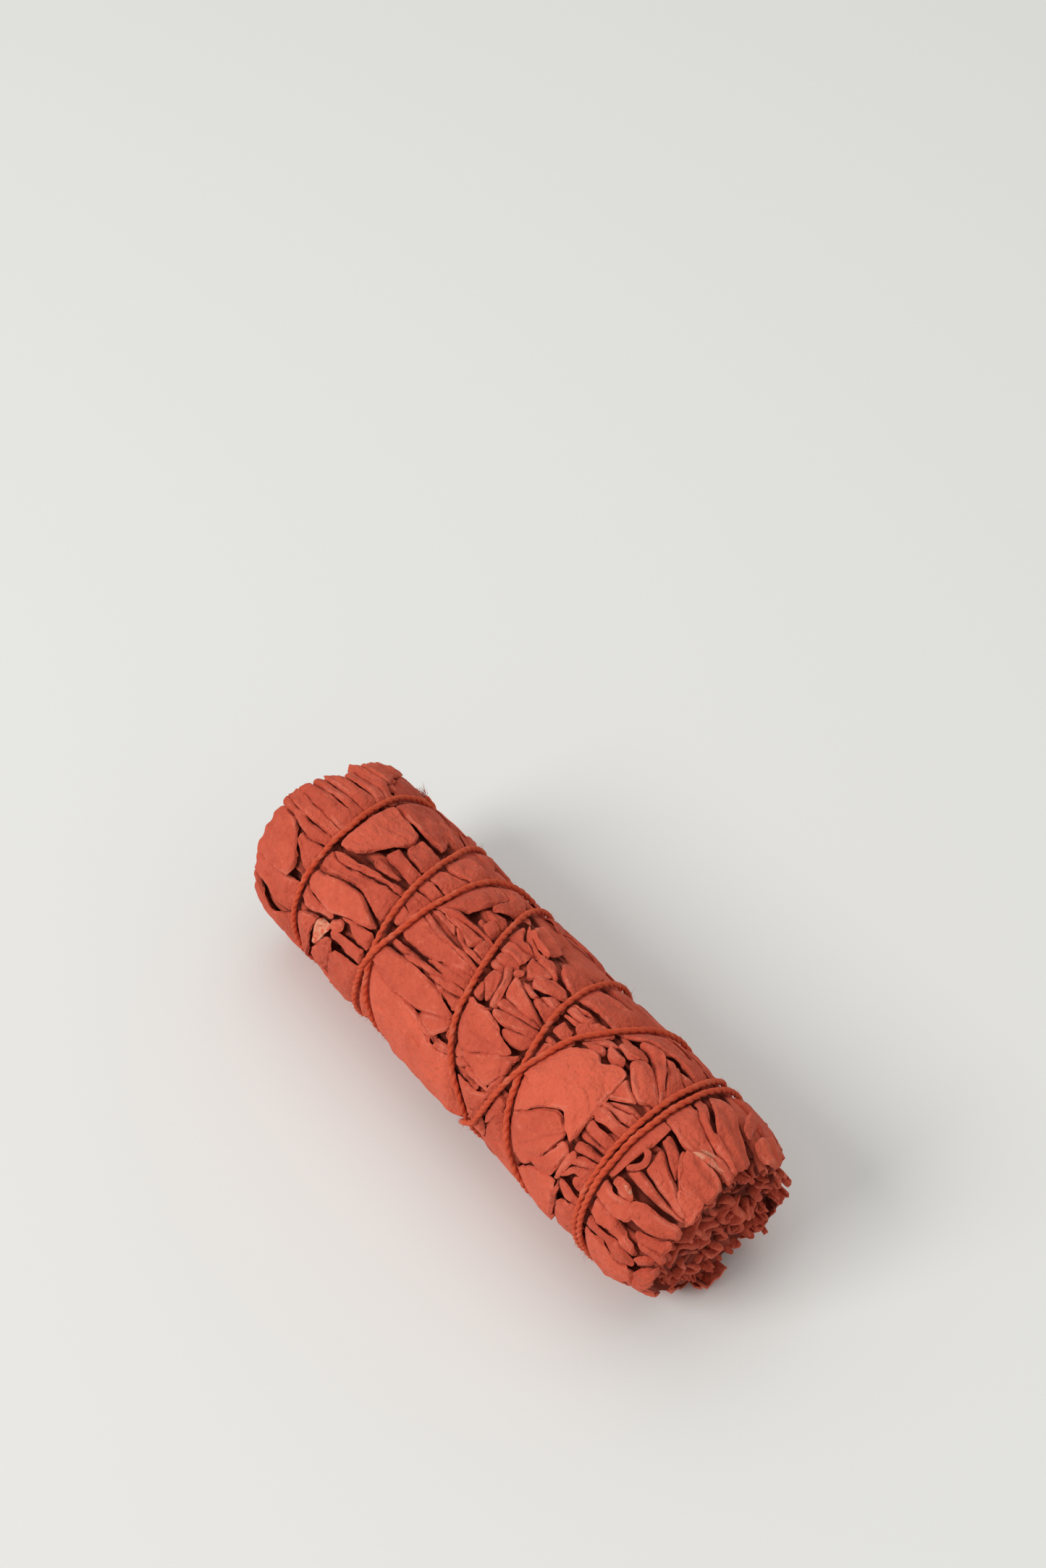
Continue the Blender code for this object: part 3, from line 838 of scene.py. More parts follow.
    def profile(self, u: Array, v: Array, leaf: Leaf) -> Array:
        """The leaf's half width as a share of its widest, with a few corners along each side.

        Args:
            u: Places along, from 0 to 1.
            v: Places across, from -1 to 1.
            leaf: The leaf.

        Returns:
            Shares of the full half width.
        """
        from_middle = np.abs(2.0 * u - 1.0)
        blunt = np.where(u < 0.5, leaf.ends[0], leaf.ends[1])
        body = np.maximum(1.0 - from_middle**blunt, 0.0) ** 0.75
        body = np.where(blunt > self.square, 1.0, body)
        margin = np.ones_like(u)
        for side in (-1.0, 1.0):
            corners = [0.0, *sorted(self.draw.uniform(0.1, 0.9) for _ in range(4)), 1.0]
            widths = [self.draw.uniform(0.8, 1.08) for _ in corners]
            margin = np.where(side * v > 0.0, np.interp(u, corners, widths), margin)
        return np.maximum(body * margin, 0.05)

    def rolled(self, reach: Array, half: Array, curl: Place) -> tuple[Array, Array]:
        """Rolls the long edges up or under.

        Args:
            reach: Distances from the midrib along the leaf's skin.
            half: The half width there.
            curl: The roll of each edge, in degrees.

        Returns:
            Distances from the midrib, and heights.
        """
        lateral, rise = reach.copy(), np.zeros_like(reach)
        for side, degrees in zip((-1.0, 1.0), curl):
            arc = self.curl_radius * math.radians(abs(degrees))
            flat = np.maximum(half - arc, 0.4 * half)
            past = np.maximum(side * reach - flat, 0.0)
            turn = past / self.curl_radius
            on_side = side * reach > flat
            lateral = np.where(on_side, side * (flat + self.curl_radius * np.sin(turn)), lateral)
            roll = math.copysign(1.0, degrees) * self.curl_radius * (1.0 - np.cos(turn))
            if degrees < -45.0:
                roll = roll - self.skirt * smoothstep(0.6, 1.0, past / arc)
            rise = np.where(on_side, roll, rise)
        return lateral, rise

    def creased(self, u: Array, reach: Array, width: float, count: int) -> tuple[Array, Array]:
        """Folds that step down on one side of a sharp lip, as where a pressed leaf laps over itself.

        Args:
            u: Places along, from 0 to 1.
            reach: Distances from the midrib.
            width: The leaf's width.
            count: How many folds there are.

        Returns:
            Heights, and how far each place is in a fold's gap, from 0 to 1, which the finish paints as shade.
        """
        draw = self.draw
        height, gap = np.zeros_like(u), np.zeros_like(u)
        for _ in range(count):
            at = draw.uniform(-0.3, 0.3) * width
            drift = draw.uniform(-0.25, 0.25) * width * (2.0 * u - 1.0)
            bowed = draw.uniform(-0.12, 0.12) * width * 4.0 * u * (1.0 - u)
            begin = draw.choice((-0.2, draw.uniform(0.0, 0.4)))
            stop = draw.choice((1.2, draw.uniform(0.6, 1.0)))
            deep = draw.uniform(0.25, 0.6)
            off = draw.choice((-1.0, 1.0)) * (reach - at - drift - bowed)
            present = smoothstep(begin, begin + 0.2, u) * (1.0 - smoothstep(stop - 0.2, stop, u))
            low = 0.5 * (1.0 + np.tanh(off / 0.11))
            lip = (1.0 - low) * 0.4 * deep * np.exp(np.minimum(off, 0.0) / 0.8)
            hollow = low * deep * np.exp(-np.maximum(off, 0.0) / 0.6)
            height += present * (lip - hollow)
            gap = np.maximum(gap, present * low * np.exp(-np.maximum(off, 0.0) / 0.28))
        return height, gap

    def puckered(self, x: Array, degrees: Array) -> Array:
        """The small gathers beside the twine and the ruffles at the bundle's ends.

        Args:
            x: Places along the bundle.
            degrees: Angles round the axis.

        Returns:
            Heights.
        """
        round_at = DEGREE_MM * degrees
        distance, _ = self.bundle.twine_near(x, degrees)
        phase = self.draw.uniform(0.0, math.tau)
        gathers = 0.5 + 0.5 * np.sin(math.tau * round_at / 1.5 + phase + 0.8 * np.sin(x))
        ruffle = smoothstep(46.0, 51.5, np.abs(x)) * np.sin(math.tau * round_at / 3.1 + 2.0 * phase)
        return self.ruffle * ruffle - self.gather * np.exp(-distance / 1.2) * gathers

    def relief(self, u: Array, v: Array, reach: Array, leaf: Leaf) -> Array:
        """The leaf's own shape: its bulge, tilt, crumple and tucked ends.

        Args:
            u: Places along, from 0 to 1.
            v: Places across, from -1 to 1.
            reach: Distances from the midrib.
            leaf: The leaf.

        Returns:
            Heights.
        """
        along = leaf.length * u
        body = np.sin(math.pi * np.clip(u, 0.02, 0.98)) ** 0.6
        height = leaf.crown * (1.0 - np.abs(v) ** 3) * body + leaf.tilt * v
        height += 0.14 * self.waves(4, 3.5, 9.0, along, reach)
        height += 0.04 * self.waves(4, 1.2, 2.4, along, reach)
        tuck = [0.0 if end > self.square else depth for end, depth in zip(leaf.ends, leaf.tuck)]
        lowered = tuck[0] * (1.0 - smoothstep(0.0, 0.2, u)) + tuck[1] * smoothstep(0.8, 1.0, u)
        return height - lowered


# The leaves of the photographed side: low edge, high edge, then layer, crown, tint and pale.
SEEN_LEAVES: tuple[SeenLeaf, ...] = tuple(SeenLeaf(*row) for row in (
    # Between the twine's turns at -17 and the long slanting turn.
    ((-16,57, -13.5,57, -10.6,59), (-16,97, -13.2,91.5, -10.6,86), 1.1),
    ((-10.3,57, -6.8,57), (-10,75, -8.9,73.3, -7.7,67)),
    ((-9.7,76.3, -8.1,73.5, -7.3,71.5, -5.8,72.5), (-9.7,79, -7.5,79.6, -5.6,78.5), 0.9),
    ((-7.6,81, -6.6,79.6, -5.5,80.6), (-7.7,87, -6.4,89.3, -4.9,88.6), 1, 0.4),
    ((-9.2,84, -8.5,83, -7.8,84), (-9,86.5, -8.2,88.4, -7.4,89), 0.7),
    ((-15.6,98, -12,94.8, -8,93, -5.4,92.2), (-13,98.6, -9.6,98, -7,101.4, -5.5,103)),
    ((-5.2,95, -3.4,96.3, -2.2,96), (-5,102.4, -3,101.6, -1.5,101.6), 0.8),
    ((-5,91.2, -3.6,90.9, -2.9,91), (-5,94.2, -3.6,95.4, -2.4,95.2), 0.9),
    ((-17,100.8, -14,99.2, -10.6,99), (-16,102, -13.5,102, -9.3,103), 0.9),
    ((-18,107, -13.5,108.8, -7,108.6, -0.9,109.8),
     (-18,122, -14.5,123.3, -9.9,122.8, -6.6,117.3, -0.9,112.3), 1.1, 0.3),
    ((-7,118, -4,115.8, -1,113.5), (-6.6,118.6, -4,117, -0.6,115.9), 0.9),
    ((-8.2,120, -5,118.2, -0.3,117.4), (-9,123.2, -5,123.3, -0.3,121), 0.9),
    ((-13,129.4, -8,128.6, -3,127.6, 0.6,126), (-12.6,130, -6,129.7, 0.6,133.4), 0.9),
    ((-19.3,138, -17,135, -13,131.9, -9,130.6, -4,130.4, 0.9,136.3),
     (-19.3,149.4, -12,150.6, -8,149.3, -4.9,147, 0.9,137.4), 1.3, 0.35, 0.65),
    ((-19.3,149.8, -12,151, -5.1,149.8, -2.6,155.6, -0.8,158, 4.7,155.6),
     (-19.5,196, -12,198, 0,197, 10,196), 1.2, 0.4, 0.8),
    ((-4.4,147.8, -2,143, 1.4,137.8), (-4.2,148.4, -2.6,150.8, -0.3,152.4, 1.8,142), 1.3),
    ((-5,150, -3,152.3, 0.3,154.6), (-4.9,150.8, -2.8,154.2, 0.2,156.8), 1.1),
    ((0.5,153.6, 1.8,151.8, 3.5,151.6), (0.4,157, 2.4,156.8, 4.4,154.8)),
    ((2,141.4, 2.9,143, 3.6,146), (1.9,146.4, 2.9,147.8, 3.6,150.8)),
    # Between the slanting turn and the fan.
    ((-3,55, 1,56, 4,60), (-3.2,60.5, -0.8,66.5, 1.5,69.5, 3.6,70.8), 1, 0.3, 0.35),
    ((-4,63, -2,67.6, 0,71, 3.6,73.4), (-2,70.6, -0.3,73, 1,75, 3.2,76.6), 0.9, 0.3, 0.4),
    ((-4.3,66, -2.5,71, -1,75, 3,78), (-4,78.6, -2.5,79.3, 0,79, 2.2,78.2), 0.6, 0.2, 0.35),
    ((-3.1,80.3, 0,80, 2.3,79.2), (-2.3,88.7, 0,88.5, 2.8,89), 1.2, 0.15, 0.6),
    ((-2,89.8, 1,89.7, 3,90.3), (-1.7,94.8, -0.3,95.5, 1.2,94.9, 2.6,93.2), 1, 0.15),
    ((2.8,80.2, 5,79.4, 8,80.5), (3.4,85.4, 4.4,88, 5.2,91, 6.1,88), 1.1),
    ((3.4,75.4, 4.1,73.4, 6.2,73.4, 8.4,77.4), (3.5,78.6, 5,78.5, 6.6,78.6, 8.4,79.4), 1.3),
    ((8.3,80.4, 9.6,79, 11.3,79.2, 12.4,82), (6.4,88.4, 7.3,92.2, 9.4,91.8, 12.2,84.8), 1.1),
    ((9.8,92, 11,88.8, 13.4,86), (9.8,93.2, 11.8,93, 14.1,91.6)),
    ((5,92.8, 7,93.6, 9.4,93.2), (4.6,94.5, 6.8,95.6, 9.1,97.5), 0.9),
    ((9.8,93.8, 12,94, 14.3,92.4), (9.6,97.6, 11,99, 14.2,101.4)),
    ((2.9,91, 3.9,90.4, 4.6,91.5), (3,97, 3.8,95.6, 4.2,94), 0.8),
    ((2.6,94, 4,99, 4.9,105.5, 6.2,116), (1.6,96.2, 3.4,101.8, 4.1,108, 5.2,117), 1.4, 0.15),
    ((0.3,101, 1.8,98.8, 3,103, 3.8,108.4), (0.5,108.4, 1.8,109.6, 2.9,113, 4.2,116.8), 0.9),
    ((-1.3,96.4, 0.3,96.4, 1.5,95.2), (-1,99.4, 0.2,100.2, 1.6,98), 0.9),
    ((0.4,109.6, 1.4,110.2, 2.6,114), (0.6,118.4, 1.8,119.4, 2.9,118.4), 0.7),
    ((4.5,96.4, 7,97.6, 9.2,99.4, 13.9,104.2), (4.9,102, 5.6,107.8, 9,106.8, 13.8,105)),
    ((5.4,109.2, 8,108.4, 13.8,106.3), (6.2,113.9, 8.5,111.6, 10,110, 13.7,107.2), 0.9),
    ((6.3,115.4, 8.5,113.2, 11,110.4, 14.2,108.3), (6.2,117.8, 9.6,119.4, 11,117.4, 14.9,112)),
    ((10.2,119.8, 12.2,117.3, 15.3,113), (9.9,121.4, 11,124.3, 13,124, 15,120.8), 0.9),
    ((1.4,121, 4,121.4, 6,119.9, 9.2,121.8, 10,124.8, 13.8,126.8),
     (2.4,134, 4,141, 6.3,144, 10,136.8, 13.8,127.6), 1.3, 0.2, 0.6),
    ((6.8,144.4, 10,138, 14,129.6, 15.2,124), (8,147, 11,149.2, 13.4,150.2, 15.6,135), 1.2),
    ((5.3,154, 6.6,149.6, 8,146.6), (5.6,157.6, 7,153.8, 9,148.8)),
    ((4.1,144.6, 5.5,145.4, 7,147.5), (4.6,149.8, 5.2,152.8, 6.3,149.6), 0.9),
    ((8.2,151.6, 9.2,149.2, 11,150, 13.6,151), (8.2,152.2, 10.6,152, 12,153.6, 14,153), 0.9),
    ((7.6,154.4, 9,154.8, 12,153.8), (7.6,155.3, 9.4,155.8, 11.8,157), 1.1),
    ((7,159.6, 9.5,157.2, 12,157.6, 14.7,154), (9.3,171, 11,171.8, 13.5,169.6), 1.2, 0.3, 0.65),
    ((9.8,173, 11.5,174, 13.2,172.4), (11,188, 13,190, 15,188)),
    ((13.8,151, 14.6,140, 15.6,137), (13.7,158, 14.5,156.5, 15.4,150)),
    # Between the slanting turn and the big bright leaf.
    ((6.7,66, 9,63, 12,60, 16,61, 19,57.5, 21,52, 31,51, 37.5,48),
     (6.8,69, 8.5,74.5, 10.5,77.2, 18,76, 20,74.3, 23.5,70.3, 26.5,65.3, 30,63, 37.5,59), 1.6, 0.3, 0.45),
    ((13.8,79.6, 16,79.9, 18.6,78.8), (13.9,82.2, 15.5,82.1, 16.8,81.1), 0.9),
    ((14,83.6, 16.4,83, 18.8,79.8), (14.2,87, 16,87.7, 17.6,87.2, 19,83.6)),
    ((14.4,88.7, 17.4,88.3, 17.9,86.8), (14.8,90.8, 16,90.4, 17.9,90.8), 0.9),
    ((17.7,89, 18.4,85.6, 19.5,80.3, 21,76.4, 22.4,76), (18.2,92, 20.4,93, 21.3,87, 22.5,81), 1.3),
    ((15.7,93.2, 17,94.2, 18.3,94.6), (15.5,99, 16,102.1, 18.3,101.6)),
    ((18.7,95.6, 19.3,97.6, 20,99.5), (18.3,102, 18.7,106, 19.2,104.6)),
    ((15.9,105.8, 17.4,105, 18.7,104.8), (15.9,108.2, 17,108, 18.5,106.6), 0.9),
    ((16.2,110, 17.6,108.4, 18.6,107.6), (16.8,118, 17.3,120, 18,118), 0.8),
    ((25.1,77.4, 26,74, 28,72.6, 29.8,74.4), (25,81.6, 26.5,83.2, 28.4,84.2, 29.2,79), 1.2, 0.4),
    ((21.4,89, 22.3,84.8, 23.5,82.3, 25.3,82), (21.5,90.8, 22.6,89, 23.7,87, 25.2,83.7), 1.1),
    ((24.2,84.9, 26,86.2, 28.2,87), (24.4,88, 26,91.4, 27.4,91.8, 28.5,90)),
    ((21.1,92.4, 22.6,90.2, 24,88.8, 24.9,91.3), (20.8,95, 22,93.8, 23.4,96, 24.7,92.6), 1.2),
    ((18.4,113, 19.8,104, 22,97, 24.6,93.6, 26.2,98.2, 28,91.4, 29.5,90.4, 30.8,92.7),
     (18,131, 19.6,148, 20.5,147, 25,131.5, 27.8,126.5, 30,133, 32.3,137.6), 1.5, 0.35, 0.9),
    ((19.8,150, 22,144, 25.2,133, 27.5,130, 30,136),
     (20.1,158, 22,169, 24.3,173, 25.7,169.6, 28,157.6, 30,139), 1.3, 0.3, 0.75),
    ((26.9,163, 28.5,155, 29.6,147, 30.9,139), (28,165.6, 31,161.8, 31.7,153, 32.4,141.4), 1.2),
    ((24.5,177, 27,168.4, 29,164.4, 32.6,162), (22.6,197, 26,200, 32.3,198), 1.3, 0.35, 0.7),
    ((16.8,160, 18.4,155, 20,162, 22.4,174.5), (15.8,188, 18,192, 20,190, 23,184), 1.1),
    ((15.6,150, 17,148, 18.1,152), (15,172, 15.7,171, 16.4,166)),
    # The folds before the hoop.
    ((26.6,69.4, 28,65.4, 30,65, 31.5,67.4, 33,72.2, 34.5,78.7, 37.5,86.4),
     (26.8,71, 28.5,70.4, 30,72, 31.5,75.4, 33,79, 34.5,82, 37.3,90), 1.5),
    ((30.6,65.2, 33,66.2, 35,68.2, 37.5,69.6), (32,67.8, 33.3,72, 34.8,77.8, 37.5,84.6), 1.2),
    ((33.4,65.4, 35.5,64.2, 37.5,60.6), (33.6,66, 35.5,67.4, 37.5,68), 1.1),
    ((29.2,80, 30,76.9, 32,78.2, 34,82.3, 37.2,91),
     (29,84.3, 30,87.3, 31.5,91.7, 33.5,95.8, 35,98, 36.2,93.5), 1.3, 0.2, 0.65),
    ((31,93, 33,97.3, 35,99.4), (31.1,108.4, 32.5,104.3, 34.6,100.6), 1.1),
    ((31.3,109, 33,105, 35,101.6, 37.6,100.6), (31.4,110, 33,107.4, 35,104.9, 37.6,103)),
    ((31.4,111, 33,108.6, 35,106, 37.6,104.2), (31.3,112, 33.2,111, 35,111, 37.6,108)),
    ((31.3,113.4, 33.5,112.2, 35.3,113.2, 37.6,109.4), (31.4,119.3, 33,119.2, 34,117.4, 37.6,117), 1.1),
    ((31.5,121, 34,122, 37.6,120.8), (31.9,126, 33,126.4, 37.6,126), 0.9),
    ((32,127.4, 34,127.6, 37.6,127), (32.3,131, 34,130, 37.6,129.6), 0.7),
    ((32.6,134, 34,132.7, 37.6,132.6), (32.8,138.4, 34,137.4, 37.6,135), 0.9),
    ((33.7,141, 35,138.4, 37.8,136.6), (33.8,145, 35,142.3, 37.8,140)),
    ((33.7,147.4, 35,143.8, 37.8,141.4), (33.2,155.4, 34.3,151, 35,147.4, 37.8,146.6), 1.1),
    ((31.9,160, 32.3,150, 32.7,142, 33.3,139.4), (32.4,159.4, 33,154.4, 33.4,148, 33.7,140.4), 1.3),
    ((35.6,149.6, 37,148.2, 38,148.5), (35.6,152.6, 36.6,155.4, 38,159), 1.1),
    ((32.6,160.6, 33.8,158, 35,159, 38,162), (33.8,162.6, 35,165, 38,163.6)),
    ((34,169, 35.5,167.8, 38,165.6), (33.1,197, 36,199, 38.5,198), 1.2, 0.3, 0.7),
    # Past the hoop, at the leafy end.
    ((49.6,40, 53.9,40), (50,58, 52,59.6, 53.8,56), 1.5, 0.4),
    ((47.6,48, 48.7,55, 49.5,61.6), (45.6,48, 46.6,56, 48.4,62.8), 2, 0.3),
    ((39.8,59, 43,57.6, 45.5,58.6, 48,63, 50,66, 52.6,69),
     (41.6,65.6, 43.5,69.6, 45.4,74.6, 47.6,78.8, 52.8,81.4), 1.5, 0.35),
    ((39.6,65, 41.6,70.4, 43.3,75, 45.4,78.4, 48,79.8, 52.8,81),
     (39.6,70.6, 41.5,74.8, 43.6,79.8, 46,82.8, 52.6,85), 1.6, 0.5),
    ((39.5,73.4, 41.6,76.6, 43.6,81.2, 46,83.6, 49.5,85.6),
     (39.2,92, 42.2,94.4, 45,96.6, 46.8,96.2, 48.2,90, 49.8,86), 1.2, 0.3, 0.6),
    ((46.6,96, 48.2,88, 50,85.6, 53,84.8), (47.4,97, 49.8,91.8, 51.6,89.8, 53.6,90.6), 1.2, 0.2, 0.35),
    ((46.6,95.6, 47.4,90.4, 48.6,87, 50.4,85.4),
     (47,95.8, 47.8,91.4, 49,88.1, 50.6,86.5), 1.7, 0.1, 0.9, 0.6),
    ((47.3,96, 48.6,92.8, 50,89.8, 51.8,87.4), (47.6,97, 48.9,94.2, 50.3,91.4, 52,89), 1.75, 0.1, 0.9, 0.6),
    ((46.2,98, 48,95.4, 50,93.6, 53,95, 53.7,99),
     (46.8,101.6, 48.4,108.4, 49.9,114.8, 52,112, 53.4,108.6, 53.8,110), 1.5, 0.3, 0.6),
    ((49.9,115.2, 51.8,112.2, 53.2,109, 53.9,110.5),
     (50.6,118.6, 52.6,123, 53.7,127.6, 53.9,129), 1.3, 0.3, 0.7),
    ((39.6,93.2, 41,94.4, 42.4,96), (39.6,134.6, 40.4,136, 41.2,129), 1.4, 0.25, 0.6),
    ((42.6,98.6, 44.8,100, 46,101.6, 47.2,106), (42.6,103.2, 44.6,105.4, 46.6,109.4, 48.4,112.6), 1.1, 0.3),
    ((43.4,106.6, 45,108.2, 46.6,111.6, 48.6,114.4, 50.6,118.4, 53.2,124.4),
     (44.2,119.6, 45.5,120.6, 47.5,121.8, 50.4,124, 52.8,125.4), 0.9, 0.3),
    ((42,111.4, 43.2,112.2, 43.9,117, 43.6,121, 42,126),
     (41.8,112.8, 42.8,114.4, 43.1,117.6, 42.7,120.8, 41.4,124.6), 1.4, 0.4),
    ((43.6,121.8, 46,122.8, 49,124.8, 52,126.4, 53.4,126),
     (42.4,126.8, 45,127.8, 49,128.4, 52.5,127.8), 1.1, 0.35),
    ((41.6,131.8, 43.6,131, 44.8,133, 45.8,136), (41.4,136.4, 43.4,138, 46,138.6)),
    ((43.5,132.8, 44.2,132.4, 44.9,133.6), (43.7,134.2, 44.3,134.8, 44.9,135), 1.5, 0.05, 0.9, 0.8),
    ((46.2,135, 48,131.6, 50.4,132.4, 53.7,130.4),
     (46.4,143, 49,144.8, 51.6,142.2, 53.8,138), 1.4, 0.4, 0.6),
    ((39.8,138.2, 43,139.8, 46.6,137), (39.8,148.4, 42.5,147.6, 45.3,149, 47.2,144.6), 1.3, 0.35, 0.6),
    ((48.6,147.6, 50.6,146, 52.4,143.6, 53.8,139.6), (49,149.6, 51.4,149.6, 53.8,149.4), 1.3, 0.35),
    ((49.6,151.2, 51.6,150.4, 53.8,151), (50.2,156.6, 52,156.4, 53.8,158), 1.1),
    ((40.2,150, 43,148.8, 45.2,150.4, 47.2,153.8, 49.4,157.4),
     (40.6,158, 43.6,157.4, 46.4,157.8, 48,160.4, 49.8,163), 1.2, 0.35),
    ((40.4,161.4, 43,160, 46.4,159.2, 49,163, 50.4,169),
     (40.4,168, 42.4,165.6, 44.8,163.9, 46.4,167, 47,172), 1.5, 0.45),
    ((40.2,171, 42,168, 44.5,166.3, 46.2,171, 47.6,174, 50,171),
     (40,198, 43.5,199, 48.6,190, 50.6,184), 1.3, 0.4, 0.65),
    ((50.2,162, 51.4,158.6, 52.6,157), (50.6,169, 51.6,166.4, 52.6,161.6), 1.2, 0.4),
    ((51,170.6, 52.6,166, 53.7,160.6, 53.8,160), (50.4,186, 52,187, 53,184, 53.8,172), 1.4, 0.4),
    # Beyond the first hoop, at the butt end.
    ((-54.2,8, -50,10), (-54.1,26, -53,28, -50.4,26), 1.2, 0.4),
    ((-54.1,28, -53,27, -50.4,28), (-54.2,42, -52.6,47, -48.4,44), 1.4, 0.4),
    ((-54,44, -51.5,46, -48.3,44), (-51.7,64, -50,62, -45,59), 1.3, 0.4),
    ((-49.4,28, -44,28, -40,28), (-46.4,48, -43.6,57, -40.5,60), 0.9, 0.4, 0.25),
    ((-53.3,67.4, -51,65, -47,61, -40.6,62), (-51.2,70.6, -48.4,70, -44,67.4, -40.6,68), 1.3, 0.5),
    ((-51.2,72, -48.4,71, -44,68.4, -41,69), (-50.6,78, -47,76.5, -44,74.6, -41,76), 1.2, 0.5),
    ((-52.2,84, -50.2,80, -47,78, -43,76.8, -40.4,78.5),
     (-52.6,88.6, -49,87.4, -45,86.6, -40.3,86), 1.1, 0.4),
    ((-52.8,89.4, -49,88.4, -45,87.6, -40.4,87), (-53,96.4, -49,94.4, -46,93.4, -40.3,92)),
    ((-53,98.2, -49.6,96.6, -46,94.6, -40.2,93), (-53.8,105.3, -48,105.8, -39.8,105.6), 1.2),
    ((-54.2,106.6, -48,106.6, -39.8,106.2), (-54,113.6, -47,113.8, -39.7,112.6), 1.1, 0.3, 0.6),
    ((-54,114, -49,114.8, -45,116, -39.7,113.6),
     (-53.8,119, -48,119.3, -46.6,121.4, -44,122.8, -39.7,118), 1.2),
    ((-45.8,123.7, -44,124, -41,121.4, -39.7,120), (-45,127.3, -43.2,131.8, -39.8,138), 1.1),
    ((-53.6,120.4, -49,120.6, -47.6,122.8, -45.6,129, -43,137),
     (-52.6,154, -47,151, -42.4,146), 1.2, 0.4, 0.6),
    ((-52.4,150.4, -47,150.4, -42,148, -39.7,146), (-51.4,164, -46,163.4, -43,165, -39.7,168), 1.3),
    ((-52,166, -47.6,172, -45,180, -39.6,170), (-51.4,200, -45,202, -40,200), 1, 0.4),
    ((-53,150, -44,150), (-52.6,184, -44,184), -0.7, 0.1, 0.3),
    # Between the butt end's hoop and the crossing.
    ((-39.5,48, -34,48, -28.5,55), (-39.5,68, -34,68.3, -29,67.6, -26,66), 0.9, 0.3, 0.25),
    ((-39.6,70, -33,70.5, -31,73, -29.8,80),
     (-38.4,112, -35.6,111, -33.5,107.8, -31.8,99, -29.9,87), 1.2, 0.3, 0.6),
    ((-29.4,75, -27,74, -24,73.4), (-29,86, -27,88.6, -23.2,89), 1.1),
    ((-29.6,90.2, -27.5,92.2, -25.5,93.2, -22.8,91), (-30.3,98.2, -28.5,99, -26.5,98.2, -22.4,100)),
    ((-31,101.6, -28.5,101.6, -24.6,102.2), (-30.3,107, -28,106.6, -26,104.8, -24.4,103), 0.9),
    ((-37.8,117.3, -34.6,113.4, -32,113.4, -29.5,110.6, -22,106),
     (-35.2,119.6, -32.5,117.2, -30,114.6, -26,110.2, -21.8,108.2), 1.5, 0.3),
    ((-38.2,118.4, -35,120, -32,118, -29,116, -25,111.6, -21.7,109.7),
     (-38,128, -35,127.6, -31.5,123.6, -28,121.4, -25,123, -21,127.4), 1.2, 0.3),
    ((-38.2,133, -35,131, -32,126.7, -27.5,123.5, -25,126, -21.3,131.7),
     (-38.4,140, -36,142.3, -33,143.6, -30,143.6, -26,137.8, -21.3,132.7), 1.4, 0.4, 0.7),
    ((-38.4,143.8, -35,146, -29.8,144.6), (-38.3,152.6, -35,152, -32,149, -29.8,146.8)),
    ((-27.6,141.3, -25.3,138.9, -22,136.6, -20.6,136), (-26.6,142.3, -25.2,141, -23.8,146, -20.5,146.2)),
    ((-28.6,153, -27,150.2, -24.5,148.8, -20.6,147.7), (-28.2,156.6, -25,156, -20.3,156.4), 1.2),
    ((-29.4,147.6, -27.8,143.3, -26.8,145.6), (-29.2,150.8, -28,150.8, -26.9,149)),
    ((-38.3,165, -36.5,157.7, -34,154.8, -32.5,154), (-38.5,201, -36,202, -33.3,173, -33,160), 1.3, 0.35),
    ((-32.4,153.4, -31,151.8, -29.2,151.5), (-32.2,168, -31.2,169, -29.8,158.6), 1.4, 0.1, 0.9, 0.65),
    ((-33.5,183, -31.5,171, -29.6,161, -28.5,157.6), (-33,199, -30,189, -28.4,175, -27.9,162), 1.2),
    ((-28.2,168, -26.5,162.6, -23,161, -20.2,158), (-29,201, -26,202, -20.2,200), 1.1, 0.35),
    ((-23.6,54, -20,54, -16.6,56), (-23.6,70.6, -21.5,74, -19.5,72.6, -16.7,68), 1.1),
    ((-22.9,79, -21,77.3, -18.5,75.2, -16.8,72), (-22,87, -20.5,89, -16.8,89)),
    ((-22,91, -16.9,90.4), (-21.4,98, -17.1,98)),
    ((-21.4,99.6, -17.2,99.2), (-21.1,102.8, -17.3,103.2)),
    ((-21,104.3, -17.3,104.8), (-20.7,110.6, -17.6,111.8)),
    ((-20.7,112, -17.8,113.4), (-20.4,120, -18.2,122)),
))

# The raised folds and stalks of the photographed side: crest and width.
RIDGES: tuple[Ridge, ...] = tuple(Ridge(*row) for row in (
    ((-17,99.4, -15,96.6, -12.5,94, -10,92.4, -7,91.2, -4,90.4), 0.65),
    ((-10,98.6, -9,100, -8,102, -6.5,103.7, -5,104.3, -3,104, -1.6,103.2), 0.55),
    ((-17.6,103.6, -16,105.6, -14,107, -11,107.9, -5,107.4, -0.9,108.8), 0.7),
    ((-17,129, -15,128.6, -12,127.3, -8,126.3, -5,125, -2,123.5, 0.4,122.3), 0.6),
    ((-17,131.4, -14,130, -10,128, -5,126.6, -2,125.6, 0.4,124), 0.5),
    ((-2.2,66.4, -0.6,69, 1.6,70.6, 3.6,71.2), 0.5),
    ((0.8,122.2, 3.4,122.3, 5,120.2, 5.8,117.6), 0.45),
    ((32.8,160.4, 32.9,172, 32.7,186, 31.9,197), 0.8),
    ((27.1,81.8, 28,80.3, 29,79), 0.6),
    ((46.2,99.6, 47.4,104.6, 48.6,109.6, 50,114.8, 51.6,112.6, 53.4,109.2), 0.5),
    ((16.6,168, 16.7,160, 18.2,154), 0.5),
))


